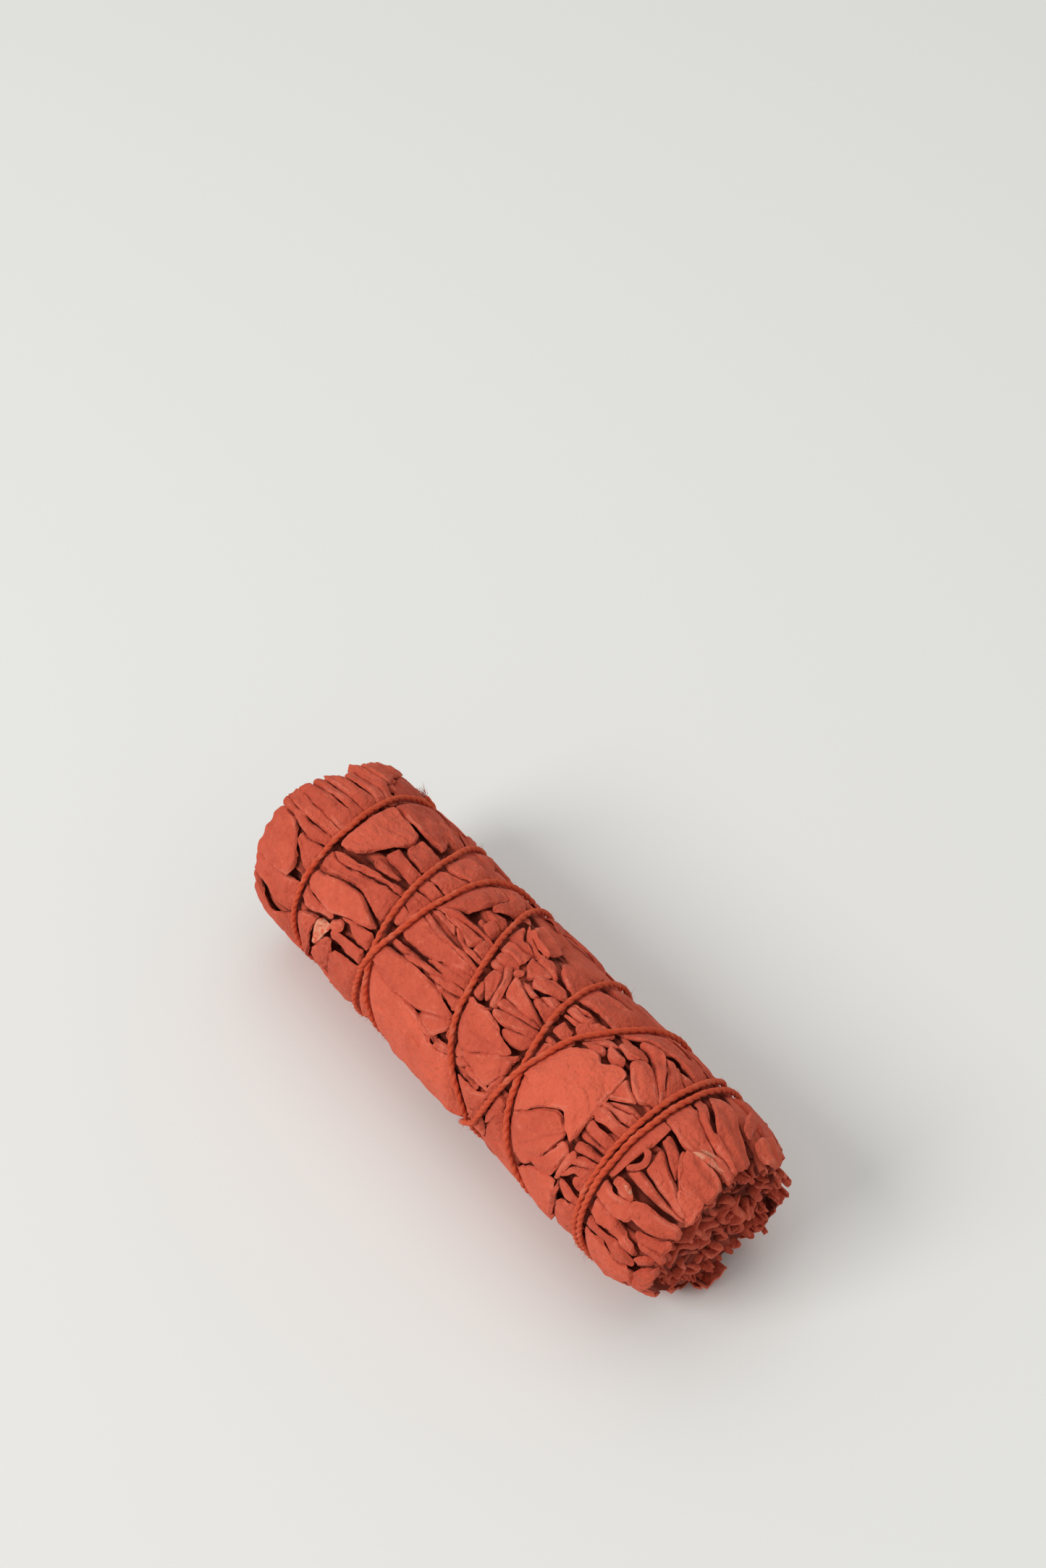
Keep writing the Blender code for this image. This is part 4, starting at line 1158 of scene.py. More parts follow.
@dataclass
class FillLeaves:
    """The leaves between and under the read ones, and all of them on the far side of the bundle.

    Attributes:
        draw: The seeded random source.
        columns: How many lie in a row along the bundle.
        pitch_along: Their spacing along the bundle.
        pitch_round: Their spacing round it, in degrees.
        photographed: The side on which the read leaves lie, in degrees.
        cut_ends: Between which places the leaves' tips are cut off at the bundle's ends.
        furthest: Where even the longest tips end.
        slivers: How many narrow leaves lie on top.
        stalks: How many leaf stalks lie on top.
    """

    draw: random.Random
    columns: int = 10
    pitch_along: float = 9.4
    pitch_round: float = 14.4
    photographed: Place = (52.0, 199.0)
    cut_ends: Place = (51.4, 52.8)
    furthest: float = 53.8
    slivers: int = 70
    stalks: int = 24

    def leaves(self) -> list[Leaf]:
        """Draws the leaves row by row, each row set off from the last, then the slivers and the stalks."""
        made = []
        for row in range(round(360.0 / self.pitch_round)):
            for column in range(self.columns):
                x = (column - 0.5 * (self.columns - 1) + 0.5 * (row % 2) - 0.25) * self.pitch_along
                round_at = row * self.pitch_round + self.draw.uniform(-4.0, 4.0)
                made.append(self.leaf(x + self.draw.uniform(-2.0, 2.0), round_at % 360.0))
        for _ in range(self.slivers):
            made.append(self.narrow(self.draw.uniform(5.0, 13.0), self.draw.uniform(1.3, 2.8), 1.0))
        for _ in range(self.stalks):
            made.append(self.narrow(self.draw.uniform(6.0, 15.0), self.draw.uniform(0.7, 1.0), 1.1))
        return made

    def ends_of(self, x: float, degrees: float, length: float, lean: float) -> tuple[Place, Place]:
        """The two ends of a leaf, cut off where the bundle ends.

        Args:
            x: The place of its middle along the bundle.
            degrees: The angle of its middle.
            length: Its length.
            lean: How far it leans from the bundle's line, in degrees.

        Returns:
            The start and the end.
        """
        way = self.draw.choice((-1.0, 1.0))
        half_run = 0.5 * way * length * math.cos(math.radians(lean))
        half_round = 0.5 * way * length * math.sin(math.radians(lean)) / DEGREE_MM
        cut = min(self.draw.uniform(*self.cut_ends) + self.overhang(x, degrees), self.furthest)
        start = min(max(x - half_run, -cut), cut)
        end = min(max(x + half_run, -cut), cut)
        return (start, degrees - half_round), (end, degrees + half_round)

    @staticmethod
    def overhang(x: float, degrees: float) -> float:
        """How much further the leaves reach at the back of each end.

        Args:
            x: A place towards that end.
            degrees: The angle round the axis.

        Returns:
            The distance.
        """
        toward = 0.5 + 0.5 * math.cos(math.radians(degrees - (18.0 if x > 0.0 else 50.0)))
        return (3.0 if x > 0.0 else 2.4) * toward**3

    def bluntness(self, ends: tuple[Place, Place]) -> Place:
        """How blunt each end is: square where the bundle ends, else drawn."""
        first, last = (
            6.0 if abs(end[0]) > self.cut_ends[0] - 3.0 else self.draw.uniform(1.5, 2.6) for end in ends)
        return first, last

    def leaf(self, x: float, degrees: float) -> Leaf:
        """Draws one broad leaf.

        Args:
            x: The place of its middle along the bundle.
            degrees: The angle of its middle.

        Returns:
            The leaf.
        """
        draw = self.draw
        seen = self.photographed[0] < degrees < self.photographed[1]
        ends = self.ends_of(x, degrees, draw.uniform(12.0, 21.0), draw.gauss(0.0, 14.0))
        curl = (draw.uniform(-130, -80), draw.uniform(-130, -80))
        if draw.random() < 0.3:
            curl = (draw.uniform(25, 75), curl[1])
        return Leaf(
            *ends,
            width=draw.uniform(2.8, 5.0) if seen else draw.uniform(4.2, 7.6),
            layer=draw.uniform(-0.8, -0.2) if seen else draw.uniform(0.0, 1.3),
            bend=draw.uniform(-1.2, 1.2),
            crown=draw.uniform(0.15, 0.45),
            curl=curl,
            ends=self.bluntness(ends),
            tuck=(draw.uniform(0.6, 1.2), draw.uniform(0.4, 1.0)),
            creases=draw.choice((1, 1, 2)),
            tilt=draw.uniform(-0.35, 0.35),
            tint=draw.uniform(0.25, 0.75),
        )

    def narrow(self, length: float, width: float, layer: float) -> Leaf:
        """Draws one sliver or stalk.

        Args:
            length: Its length.
            width: Its width.
            layer: How high it lies.

        Returns:
            The leaf.
        """
        draw = self.draw
        first, last = self.photographed
        degrees = draw.uniform(last, first + 360.0) % 360.0
        ends = self.ends_of(draw.uniform(-50, 50), degrees, length, draw.gauss(0.0, 20.0))
        return Leaf(
            *ends,
            width=width,
            layer=layer + draw.uniform(-0.35, 0.2),
            bend=draw.uniform(-1.5, 1.5),
            crown=0.12,
            curl=(-120.0, -120.0),
            ends=self.bluntness(ends),
            tuck=(0.8, 0.8),
            creases=0,
            tilt=draw.uniform(-0.2, 0.2),
            tint=draw.uniform(0.35, 0.75),
        )


@dataclass
class LeafLayers:
    """The outer leaves, one piece for each sprig.

    Attributes:
        press: What lays the leaves.
        fill_press: What lays the leaves that mostly lie under others.
        starts: The angle at which each sprig begins.
        thickness: How thick a leaf is.
    """

    press: LeafPress
    fill_press: LeafPress
    starts: tuple[float, ...] = (18, 60, 100, 143, 184, 224, 262, 310)
    thickness: float = 0.3

    def sprig_of(self, degrees: float) -> int:
        """The number of the sprig at an angle, counted from 1."""
        first = self.starts[0]
        return sum(1 for start in self.starts if (degrees - first) % 360.0 >= start - first)

    def build(self, fill: list[Leaf]) -> dict[int, Piece]:
        """Lays all the leaves.

        Args:
            fill: The leaves between and under the read ones.

        Returns:
            The finished piece of each sprig.
        """
        sheets: dict[int, list[Piece]] = {number: [] for number in range(1, len(self.starts) + 1)}
        for leaf in (*SEEN_LEAVES, *(ridge.leaf() for ridge in RIDGES)):
            sheets[self.sprig_of(leaf.middle[1])].append(self.press.lay_seen(leaf))
        for leaf in fill:
            sheets[self.sprig_of(leaf.middle[1])].append(self.fill_press.lay(leaf))
        pieces = {}
        for number, parts in sheets.items():
            piece = join(f"leaves_{number}", parts)
            thicken(piece, self.thickness)
            smooth(piece, 62.0)
            pieces[number] = piece
        return pieces


@dataclass
class InnerLeaves:
    """The crumpled leaves inside, which show in the gaps between the outer ones.

    Attributes:
        bundle: The outline that they lie under.
        draw: The seeded random source.
        under: How far below the outer leaves they lie.
        segments: Faces round.
        rings: Faces from end to end.
        cap: The share of the rings that makes each end face.
        fold_rows: How many rows of folds cross each other.
    """

    bundle: Bundle
    draw: random.Random
    under: float = 0.35
    segments: int = 240
    rings: int = 150
    cap: float = 0.1
    fold_rows: int = 6

    def build(self) -> Piece:
        """Shapes a ball into a crumpled roll, so that it stays closed from pole to pole."""
        deselect()
        bpy.ops.mesh.primitive_uv_sphere_add(segments=self.segments, ring_count=self.rings, radius=1.0)
        obj = bpy.context.object
        obj.name = "inner_leaves"
        flat = points_of(obj)
        share = np.arcsin(np.clip(flat[:, 2], -1.0, 1.0)) / (0.5 * math.pi)
        body = 1.0 - self.cap
        end = self.bundle.half_length - np.where(share > 0.0, 1.7, 0.9)
        x = end * np.clip(share / body, -1.0, 1.0)
        inside = np.clip((1.0 - np.abs(share)) / self.cap, 0.0, 1.0)
        degrees = np.degrees(np.arctan2(flat[:, 1], flat[:, 0])) % 360.0
        folds = self.folds(x, degrees)
        radius = self.bundle.outline(x, degrees) - self.under - folds
        radius = self.bundle.press(x, degrees, radius, 0.0)
        x = x + np.sign(share) * np.where(inside < 1.0, 0.8 * (0.5 - folds), 0.0)
        set_points(obj, self.bundle.points(x, degrees, radius * inside))
        # Painted shade: the inner leaves are marked deep all over, deepest in their folds, so the finish
        # darkens them.
        mark(obj, np.clip(0.62 + 0.38 * folds, 0.0, 1.0), 0.0, 0.3 + 0.3 * folds)
        smooth(obj, 60.0)
        return obj

    def folds(self, x: Array, degrees: Array) -> Array:
        """How deep the folds are, from 0 to 1.

        Args:
            x: Places along the bundle.
            degrees: Angles round the axis.

        Returns:
            The depth at each place.
        """
        turn = np.radians(degrees)
        total = np.zeros_like(x)
        for _ in range(self.fold_rows):
            across = self.draw.randint(10, 44)
            along = self.draw.uniform(-1.0, 1.0)
            phase = self.draw.uniform(0, math.tau)
            total += 1.0 - np.abs(np.sin(0.5 * (across * turn + along * x + phase)))
        return np.clip(total / 3.2, 0.0, 1.0)


class Curl(Enum):
    """How a leaf tip at the bundle's end is rolled up."""

    ROLL = "roll"
    WAVE = "wave"
    FOLD = "fold"


@dataclass
class LeafEnds:
    """The soft folded leaf tips that fill the two end faces, and the flakes that stick out between them.

    Attributes:
        bundle: The outline.
        blanks: The flat grids to fold them from.
        draw: The seeded random source.
        count: How many tips stand at each end.
        flakes: How many flakes stick out at each end.
        reach: The distance from the axis to the outermost tips.
        depth: How far the tips reach into the bundle.
        fold: Half the width of a tip's folded lip.
        crest: The share of a tip's width that makes its rounded lip.
        thickness: How thick a leaf is.
    """

    bundle: Bundle
    blanks: BlankStore
    draw: random.Random
    count: int = 86
    flakes: int = 56
    reach: float = 13.6
    depth: float = 4.0
    fold: float = 0.5
    crest: float = 0.55
    thickness: float = 0.2

    def build(self) -> Piece:
        """Stands the tips up at both ends and joins them."""
        tips = []
        for side in (-1.0, 1.0):
            for i in range(self.count):
                away = (self.reach - 0.5 * side + 0.5) * math.sqrt((i + 0.6) / self.count)
                degrees = EVEN_TURN * i + self.draw.uniform(-6, 6)
                low_rim = away > 8.0 and math.sin(math.radians(degrees)) < 0.0
                size = self.draw.uniform(0.6, 0.95) if low_rim else self.draw.uniform(0.8, 1.5)
                tips.append(self.tip(side, away, degrees, size, 0.0))
            for _ in range(self.flakes):
                away = self.draw.uniform(0.75, 1.04) * self.reach
                size = self.draw.uniform(0.25, 0.45)
                degrees = self.draw.uniform(0, 360)
                tips.append(self.tip(side, away, degrees, size, self.draw.uniform(0.2, 0.9)))
        piece = join("leaf_ends", tips)
        thicken(piece, self.thickness)
        smooth(piece, 70.0)
        return piece

    def dome(self, side: float, away: float, degrees: float) -> float:
        """How far out the end face lies.

        Args:
            side: -1 at the butt end, 1 at the leafy end.
            away: The distance from the axis.
            degrees: The angle round the axis.

        Returns:
            The place along the bundle.
        """
        share = away / self.reach
        leaning = share**2 * FillLeaves.overhang(side, degrees)
        return self.bundle.half_length + (0.7 if side < 0.0 else -0.2) - 1.7 * share**3 + leaning

    def tip(self, side: float, away: float, degrees: float, size: float, further: float) -> Piece:
        """Folds one tip: a leaf doubled over along a curled line, with a rounded lip outside.

        Args:
            side: -1 at the butt end, 1 at the leafy end.
            away: Its distance from the axis.
            degrees: Its angle round the axis.
            size: Its size, where 1 is usual.
            further: How far it stands out of the end face.

        Returns:
            The tip as a sheet with no thickness.
        """
        draw = self.draw
        obj, u, v = self.blanks.copy(20, 8) if size > 0.6 else self.blanks.copy(6, 4)
        v = -side * v
        fine = np.linspace(0.0, 1.0, 61)
        line = np.stack(self.section(draw.choice(list(Curl)), fine, size), axis=-1)
        way = unit(np.gradient(line, axis=0))
        across, outward, way_across, way_outward = (
            np.interp(u, fine, values) for values in (*line.T, *way.T))
        tapered = np.sin(math.pi * np.clip(u, 0.01, 0.99)) ** 0.35
        half = self.fold * min(size, 1.1) * draw.uniform(0.8, 1.25) * tapered
        turned = 0.5 * math.pi * np.clip(v / self.crest, -1.0, 1.0)
        aside = half * np.sin(turned)
        skirt = self.depth * np.maximum(np.abs(v) - self.crest, 0.0) / (1.0 - self.crest)
        sunk = half * (1.0 - np.cos(turned)) + skirt
        across, outward = across - aside * way_outward, outward + aside * way_across
        spin = draw.uniform(0.0, math.tau) if away < 9.0 else draw.gauss(0.0, 0.5)
        cosine, sine = math.cos(spin), math.sin(spin)
        across, outward = across * cosine - outward * sine, across * sine + outward * cosine
        turn = math.radians(degrees)
        far = np.minimum(away + outward, self.reach + 1.4 - 0.5 * side)
        y = far * math.cos(turn) - across * math.sin(turn)
        z = far * math.sin(turn) + across * math.cos(turn)
        wave = 0.45 * np.sin(u * draw.uniform(4, 10) + draw.uniform(0, 6)) * min(size, 1.0)
        wave -= 1.1 * (2.0 * u - 1.0) ** 4
        face = self.dome(side, away, degrees)
        top = face + (further if further else draw.uniform(-1.7, 0.6))
        x = side * np.minimum(top + wave - sunk, self.bundle.half_length + 1.7)
        floor = np.maximum(self.bundle.axis_z + MM * z, 0.35 * MM)
        set_points(obj, np.stack([MM * x, self.bundle.axis_y + MM * y, floor], axis=-1))
        # Painted shade: darker the further a place lies back inside the end face; the lip's crest is
        # lightened as worn dye and painted highlight.
        depth = np.clip((face + 0.1 - np.abs(x)) / 1.7, 0.0, 1.0)
        mark(obj, depth, 0.5 * np.cos(turned) ** 2, draw.uniform(0.35, 0.7))
        return obj

    def section(self, curl: Curl, u: Array, size: float) -> tuple[Array, Array]:
        """The curled line of a tip's lip as seen from the end.

        Args:
            curl: How it is rolled.
            u: Places along the lip, from 0 to 1.
            size: Its size, where 1 is usual.

        Returns:
            Distances sideways and outwards.
        """
        draw = self.draw
        if curl is Curl.ROLL:
            turn = u * math.tau * draw.uniform(0.8, 1.15)
            radius = size * (0.75 + 0.6 * u)
            return radius * np.cos(turn), 0.8 * radius * np.sin(turn)
        if curl is Curl.WAVE:
            waves = draw.uniform(0.7, 1.5)
            return size * 4.8 * (u - 0.5), size * 0.8 * np.sin(math.tau * waves * u + draw.uniform(0, 6))
        turn = math.pi * (1.6 * u - 0.3)
        return size * (1.9 * np.sin(turn) + 0.5 * u), size * 0.9 * np.cos(turn)


@dataclass
class Tube:
    """A round strand along a line of points.

    Attributes:
        blanks: The flat grids to roll it from.
        sides: How many faces go round it.
    """

    blanks: BlankStore
    sides: int = 8

    def build(self, line: Array, radii: Array, twist: float = 0.0) -> Piece:
        """Rolls a grid into a strand whose ends close to a point.

        Args:
            line: The strand's points, in metres.
            radii: Its radius at each point, in metres; 0 closes an end.
            twist: How fast its fibres turn round it, in radians per millimetre.

        Returns:
            The strand.
        """
        count = len(line)
        obj, u, v = self.blanks.copy(count - 1, self.sides)
        row = np.rint(u * (count - 1)).astype(int)
        _, normal, side = frames(line)
        turn = -math.pi * v
        out = np.cos(turn)[:, None] * normal[row] + np.sin(turn)[:, None] * side[row]
        set_points(obj, line[row] + radii[row][:, None] * out)
        run = run_along(line)[row] / MM
        fibre = np.stack([np.cos(turn - twist * run), np.sin(turn - twist * run), 0.16 * run], axis=-1)
        layer = obj.data.attributes.new("fibre", "FLOAT_VECTOR", "POINT")
        layer.data.foreach_set("vector", np.ascontiguousarray(fibre.reshape(-1), dtype=np.float32))
        return obj


def frames(line: Array) -> tuple[Array, Array, Array]:
    """Directions along a line and square to it that don't spin round it.

    Args:
        line: The points.

    Returns:
        The tangents, and two sets of normals.
    """
    tangent = unit(np.gradient(line, axis=0))
    normal = np.zeros_like(line)
    start = np.array([1.0, 0.0, 0.0]) if abs(tangent[0, 0]) < 0.8 else np.array([0.0, 1.0, 0.0])
    carried = start - tangent[0] * start.dot(tangent[0])
    for i, way in enumerate(tangent):
        carried = carried - way * carried.dot(way)
        carried = carried / np.linalg.norm(carried)
        normal[i] = carried
    return tangent, normal, np.cross(tangent, normal)


def evenly(line: Array, spacing: float) -> Array:
    """Spaces a line's points evenly.

    Args:
        line: The points, in metres.
        spacing: The new spacing, in metres.

    Returns:
        The new points.
    """
    run = run_along(line)
    wanted = np.linspace(0.0, run[-1], max(int(run[-1] / spacing), 4))
    return np.stack([np.interp(wanted, run, line[:, k]) for k in range(3)], axis=-1)


@dataclass
class Twine:
    """The two-ply twine: its turns, its knot, its two tails and its fuzz.

    Attributes:
        bundle: The outline that it is wound on.
        tube: What makes the strands.
        draw: The seeded random source.
        ply_radius: The radius of one ply.
        ply_offset: How far a ply's middle is from the twine's middle.
        ply_turn: The length of one turn of the plies.
        knot_place: Where the knot sits along the bundle.
        hairs: How many fibres stand off the twine.
        frayed: How many fibres spread at each tail's end.
        tails: The points of each tail on the bundle.
    """

    bundle: Bundle
    tube: Tube
    draw: random.Random
    ply_radius: float = 0.38
    ply_offset: float = 0.17
    ply_turn: float = 3.3
    knot_place: float = -39.5
    hairs: int = 2100
    frayed: int = 26
    tails: tuple[tuple[Place, ...], ...] = (
        ((-39.6, 0.0), (-41.5, 4.0), (-44.0, 12.0), (-46.5, 16.0)),
        ((-39.4, 0.0), (-37.5, -5.0), (-35.0, -12.0), (-32.0, -15.0)),
    )

    def build(self) -> Piece:
        """Makes the twine with its knot, tails and fuzz."""
        turns = self.turns()
        strands = self.plies(turns)
        strands += self.plies(self.knot())
        for tail in self.tails:
            line = self.tail(tail)
            strands += self.plies(line)
            strands += self.fray(line)
        strands += self.fuzz(turns)
        piece = join("twine_strands", strands)
        activate(piece)
        bpy.ops.object.mode_set(mode="EDIT")
        bpy.ops.mesh.select_all(action="SELECT")
        bpy.ops.mesh.remove_doubles(threshold=1e-6)
        bpy.ops.object.mode_set(mode="OBJECT")
        smooth(piece, 80.0)
        return piece

    def turns(self) -> Array:
        """The twine's line round the bundle, wandering a little, with both ends run into the knot."""
        rows = np.array(self.bundle.line)
        wander = Waves(self.draw, 5, 7.0, 26.0)
        run = rows[:, 0] * DEGREE_MM
        x = rows[:, 1] + 0.14 * wander.height(run, np.zeros_like(run))
        line = self.bundle.points(x, rows[:, 0], rows[:, 2])
        x_knot, r_knot = np.array([self.knot_place]), np.array([self.knot_radius])
        knot = self.bundle.points(x_knot, np.zeros(1), r_knot)
        return evenly(np.concatenate([knot, line, knot]), self.ply_turn * MM / 8.0)

    @property
    def knot_radius(self) -> float:
        """How far the knot's middle is from the axis."""
        return float(self.bundle.outline(np.array(self.knot_place), np.array(0.0))) + 1.35

    def knot(self) -> Array:
        """The line of a small pulled knot."""
        t = np.linspace(0.0, math.tau, 90)
        along = 0.5 * (np.sin(t) + 2.0 * np.sin(2.0 * t))
        round_at = 0.5 * (np.cos(t) - 2.0 * np.cos(2.0 * t))
        out = -0.55 * np.sin(3.0 * t)
        x = self.knot_place + along
        return self.bundle.points(x, round_at / DEGREE_MM, self.knot_radius + out)

    def tail(self, places: tuple[Place, ...]) -> Array:
        """The line of one tail.

        Args:
            places: Its points on the bundle, as (mm along, degrees round).

        Returns:
            The points.
        """
        share = np.linspace(0.0, 1.0, len(places))
        fine = np.linspace(0.0, 1.0, 40)
        x = np.interp(fine, share, [place[0] for place in places])
        degrees = np.interp(fine, share, [place[1] for place in places])
        above = self.bundle.outline(x, degrees) + 1.5 + 0.25 * np.sin(9.0 * fine)
        start = smoothstep(0.0, 0.25, fine)
        radius = (1.0 - start) * self.knot_radius + start * above
        return evenly(self.bundle.points(x, degrees, radius), self.ply_turn * MM / 8.0)

    def plies(self, line: Array) -> list[Piece]:
        """Winds two plies round a line.

        Args:
            line: The twine's evenly spaced points, in metres.

        Returns:
            The two plies.
        """
        _, normal, side = frames(line)
        run = run_along(line) / MM
        pace = Waves(self.draw, 4, 9.0, 30.0).height(run, np.zeros_like(run))
        turn = math.tau * run / self.ply_turn + 0.9 * pace
        made = []
        for start in (0.0, math.pi):
            out = np.cos(turn + start)[:, None] * normal + np.sin(turn + start)[:, None] * side
            swell = 1.0 + 0.1 * Waves(self.draw, 5, 1.5, 6.0).height(run, np.zeros_like(run))
            radii = self.ply_radius * MM * swell
            radii[0] = radii[-1] = 0.0
            ply = line + self.ply_offset * MM * out
            ply[:, 2] = np.maximum(ply[:, 2], (self.ply_radius * 1.1 + 0.03) * MM)
            made.append(self.tube.build(ply, radii, twist=2.6))
        return made

    def fibre(self, start: Array, way: Array, length: float, thickness: float) -> Piece:
        """One thin fibre that bends as it leaves the twine.

        Args:
            start: Where it leaves, in metres.
            way: Its direction there.
            length: Its length, in metres.
            thickness: Its radius at the foot, in metres.

        Returns:
            The fibre.
        """
        bend = np.array([self.draw.gauss(0, 1) for _ in range(3)])
        share = np.linspace(0.0, 1.0, 5)[:, None]
        line = start + length * (way * share + 0.32 * bend * share**2)
        line[:, 2] = np.maximum(line[:, 2], thickness)
        radii = thickness * np.array([0.9, 1.0, 0.8, 0.5, 0.0])
        return Tube(self.tube.blanks, sides=3).build(line, radii)

    def fray(self, line: Array) -> list[Piece]:
        """The spread fibres at a tail's end.

        Args:
            line: The tail's points.

        Returns:
            The fibres.
        """
        way = line[-1] - line[-4]
        way /= np.linalg.norm(way)
        made = []
        for _ in range(self.frayed):
            aside = np.array([self.draw.gauss(0, 0.35) for _ in range(3)])
            start = line[-2] + 0.3 * MM * aside
            length = self.draw.uniform(1.0, 2.4) * MM
            made.append(self.fibre(start, way + aside, length, 0.06 * MM))
        return made

    def fuzz(self, line: Array) -> list[Piece]:
        """The short fibres that stand off the twine.

        Args:
            line: The twine's points.

        Returns:
            The fibres.
        """
        tangent, normal, side = frames(line)
        made = []
        for _ in range(self.hairs):
            i = self.draw.randrange(3, len(line) - 3)
            turn = self.draw.uniform(0.0, math.tau)
            out = math.cos(turn) * normal[i] + math.sin(turn) * side[i]
            way = 0.55 * out + self.draw.choice((-1, 1)) * 0.75 * tangent[i]
            start = line[i] + 0.5 * MM * out
            made.append(self.fibre(start, way, self.draw.uniform(0.5, 1.5) * MM, 0.022 * MM))
        return made


@dataclass
class Stems:
    """The woody stems that stand in the butt end.

    Attributes:
        nodes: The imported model's stems, which these take the place of.
        draw: The seeded random source.
        ridge: How far the bark's ridges stand out.
        radius: The radius of the stem under its bark.
        sides: How many faces go round it.
        cuts: How often each long face is cut, so that the bark can wander.
    """

    nodes: tuple[str, ...]
    draw: random.Random
    ridge: float = 0.042
    radius: float = 1.08
    sides: int = 28
    cuts: int = 46

    def build(self) -> list[Piece]:
        """Makes each stem inside its node's own box."""
        return [self.stem(node) for node in self.nodes]

    def stem(self, node: str) -> Piece:
        """Turns one stem.

        Args:
            node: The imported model's stem.

        Returns:
            The stem, with a cut face at each end.
        """
        low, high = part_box(node)
        line_y, line_z = 0.5 * (low[1] + high[1]), 0.5 * (low[2] + high[2])
        deselect()
        bpy.ops.mesh.primitive_cylinder_add(
            vertices=self.sides, radius=self.radius * MM, depth=high[0] - low[0], end_fill_type="TRIFAN",
            location=(0.5 * (low[0] + high[0]), line_y, line_z), rotation=(0.0, 0.5 * math.pi, 0.0))
        obj = bpy.context.object
        obj.name = node + "_wood"
        bpy.ops.object.transform_apply(location=True, rotation=True, scale=True)
        bpy.ops.object.mode_set(mode="EDIT")
        mesh = bmesh.from_edit_mesh(obj.data)
        long_edges = [edge for edge in mesh.edges if edge.calc_length() > 0.5 * (high[0] - low[0])]
        bmesh.ops.subdivide_edges(mesh, edges=long_edges, cuts=self.cuts, use_grid_fill=True)
        bmesh.update_edit_mesh(obj.data)
        bpy.ops.object.mode_set(mode="OBJECT")
        phase = self.draw.uniform(0.0, 6.0)
        for vertex in obj.data.vertices:
            point = vertex.co
            y, z = point.y - line_y, point.z - line_z
            away = math.hypot(y, z)
            if away < 1e-6:
                continue
            turn = math.atan2(z, y)
            bark = math.sin(9 * turn + 260 * point.x + phase) + 0.6 * math.sin(5 * turn - 410 * point.x)
            grown = away + self.ridge * MM * bark
            point.y, point.z = line_y + y * grown / away, line_z + z * grown / away
        smooth(obj, 50.0)
        return obj


def colour(red: int, green: int, blue: int) -> Colour:
    """A paint-chip colour as the light-linear colour that a shader takes.

    Args:
        red: 0 to 255.
        green: 0 to 255.
        blue: 0 to 255.

    Returns:
        Red, green, blue and alpha.
    """
    def linear(value: int) -> float:
        share = value / 255.0
        return share / 12.92 if share <= 0.04045 else ((share + 0.055) / 1.055) ** 2.4

    return linear(red), linear(green), linear(blue), 1.0


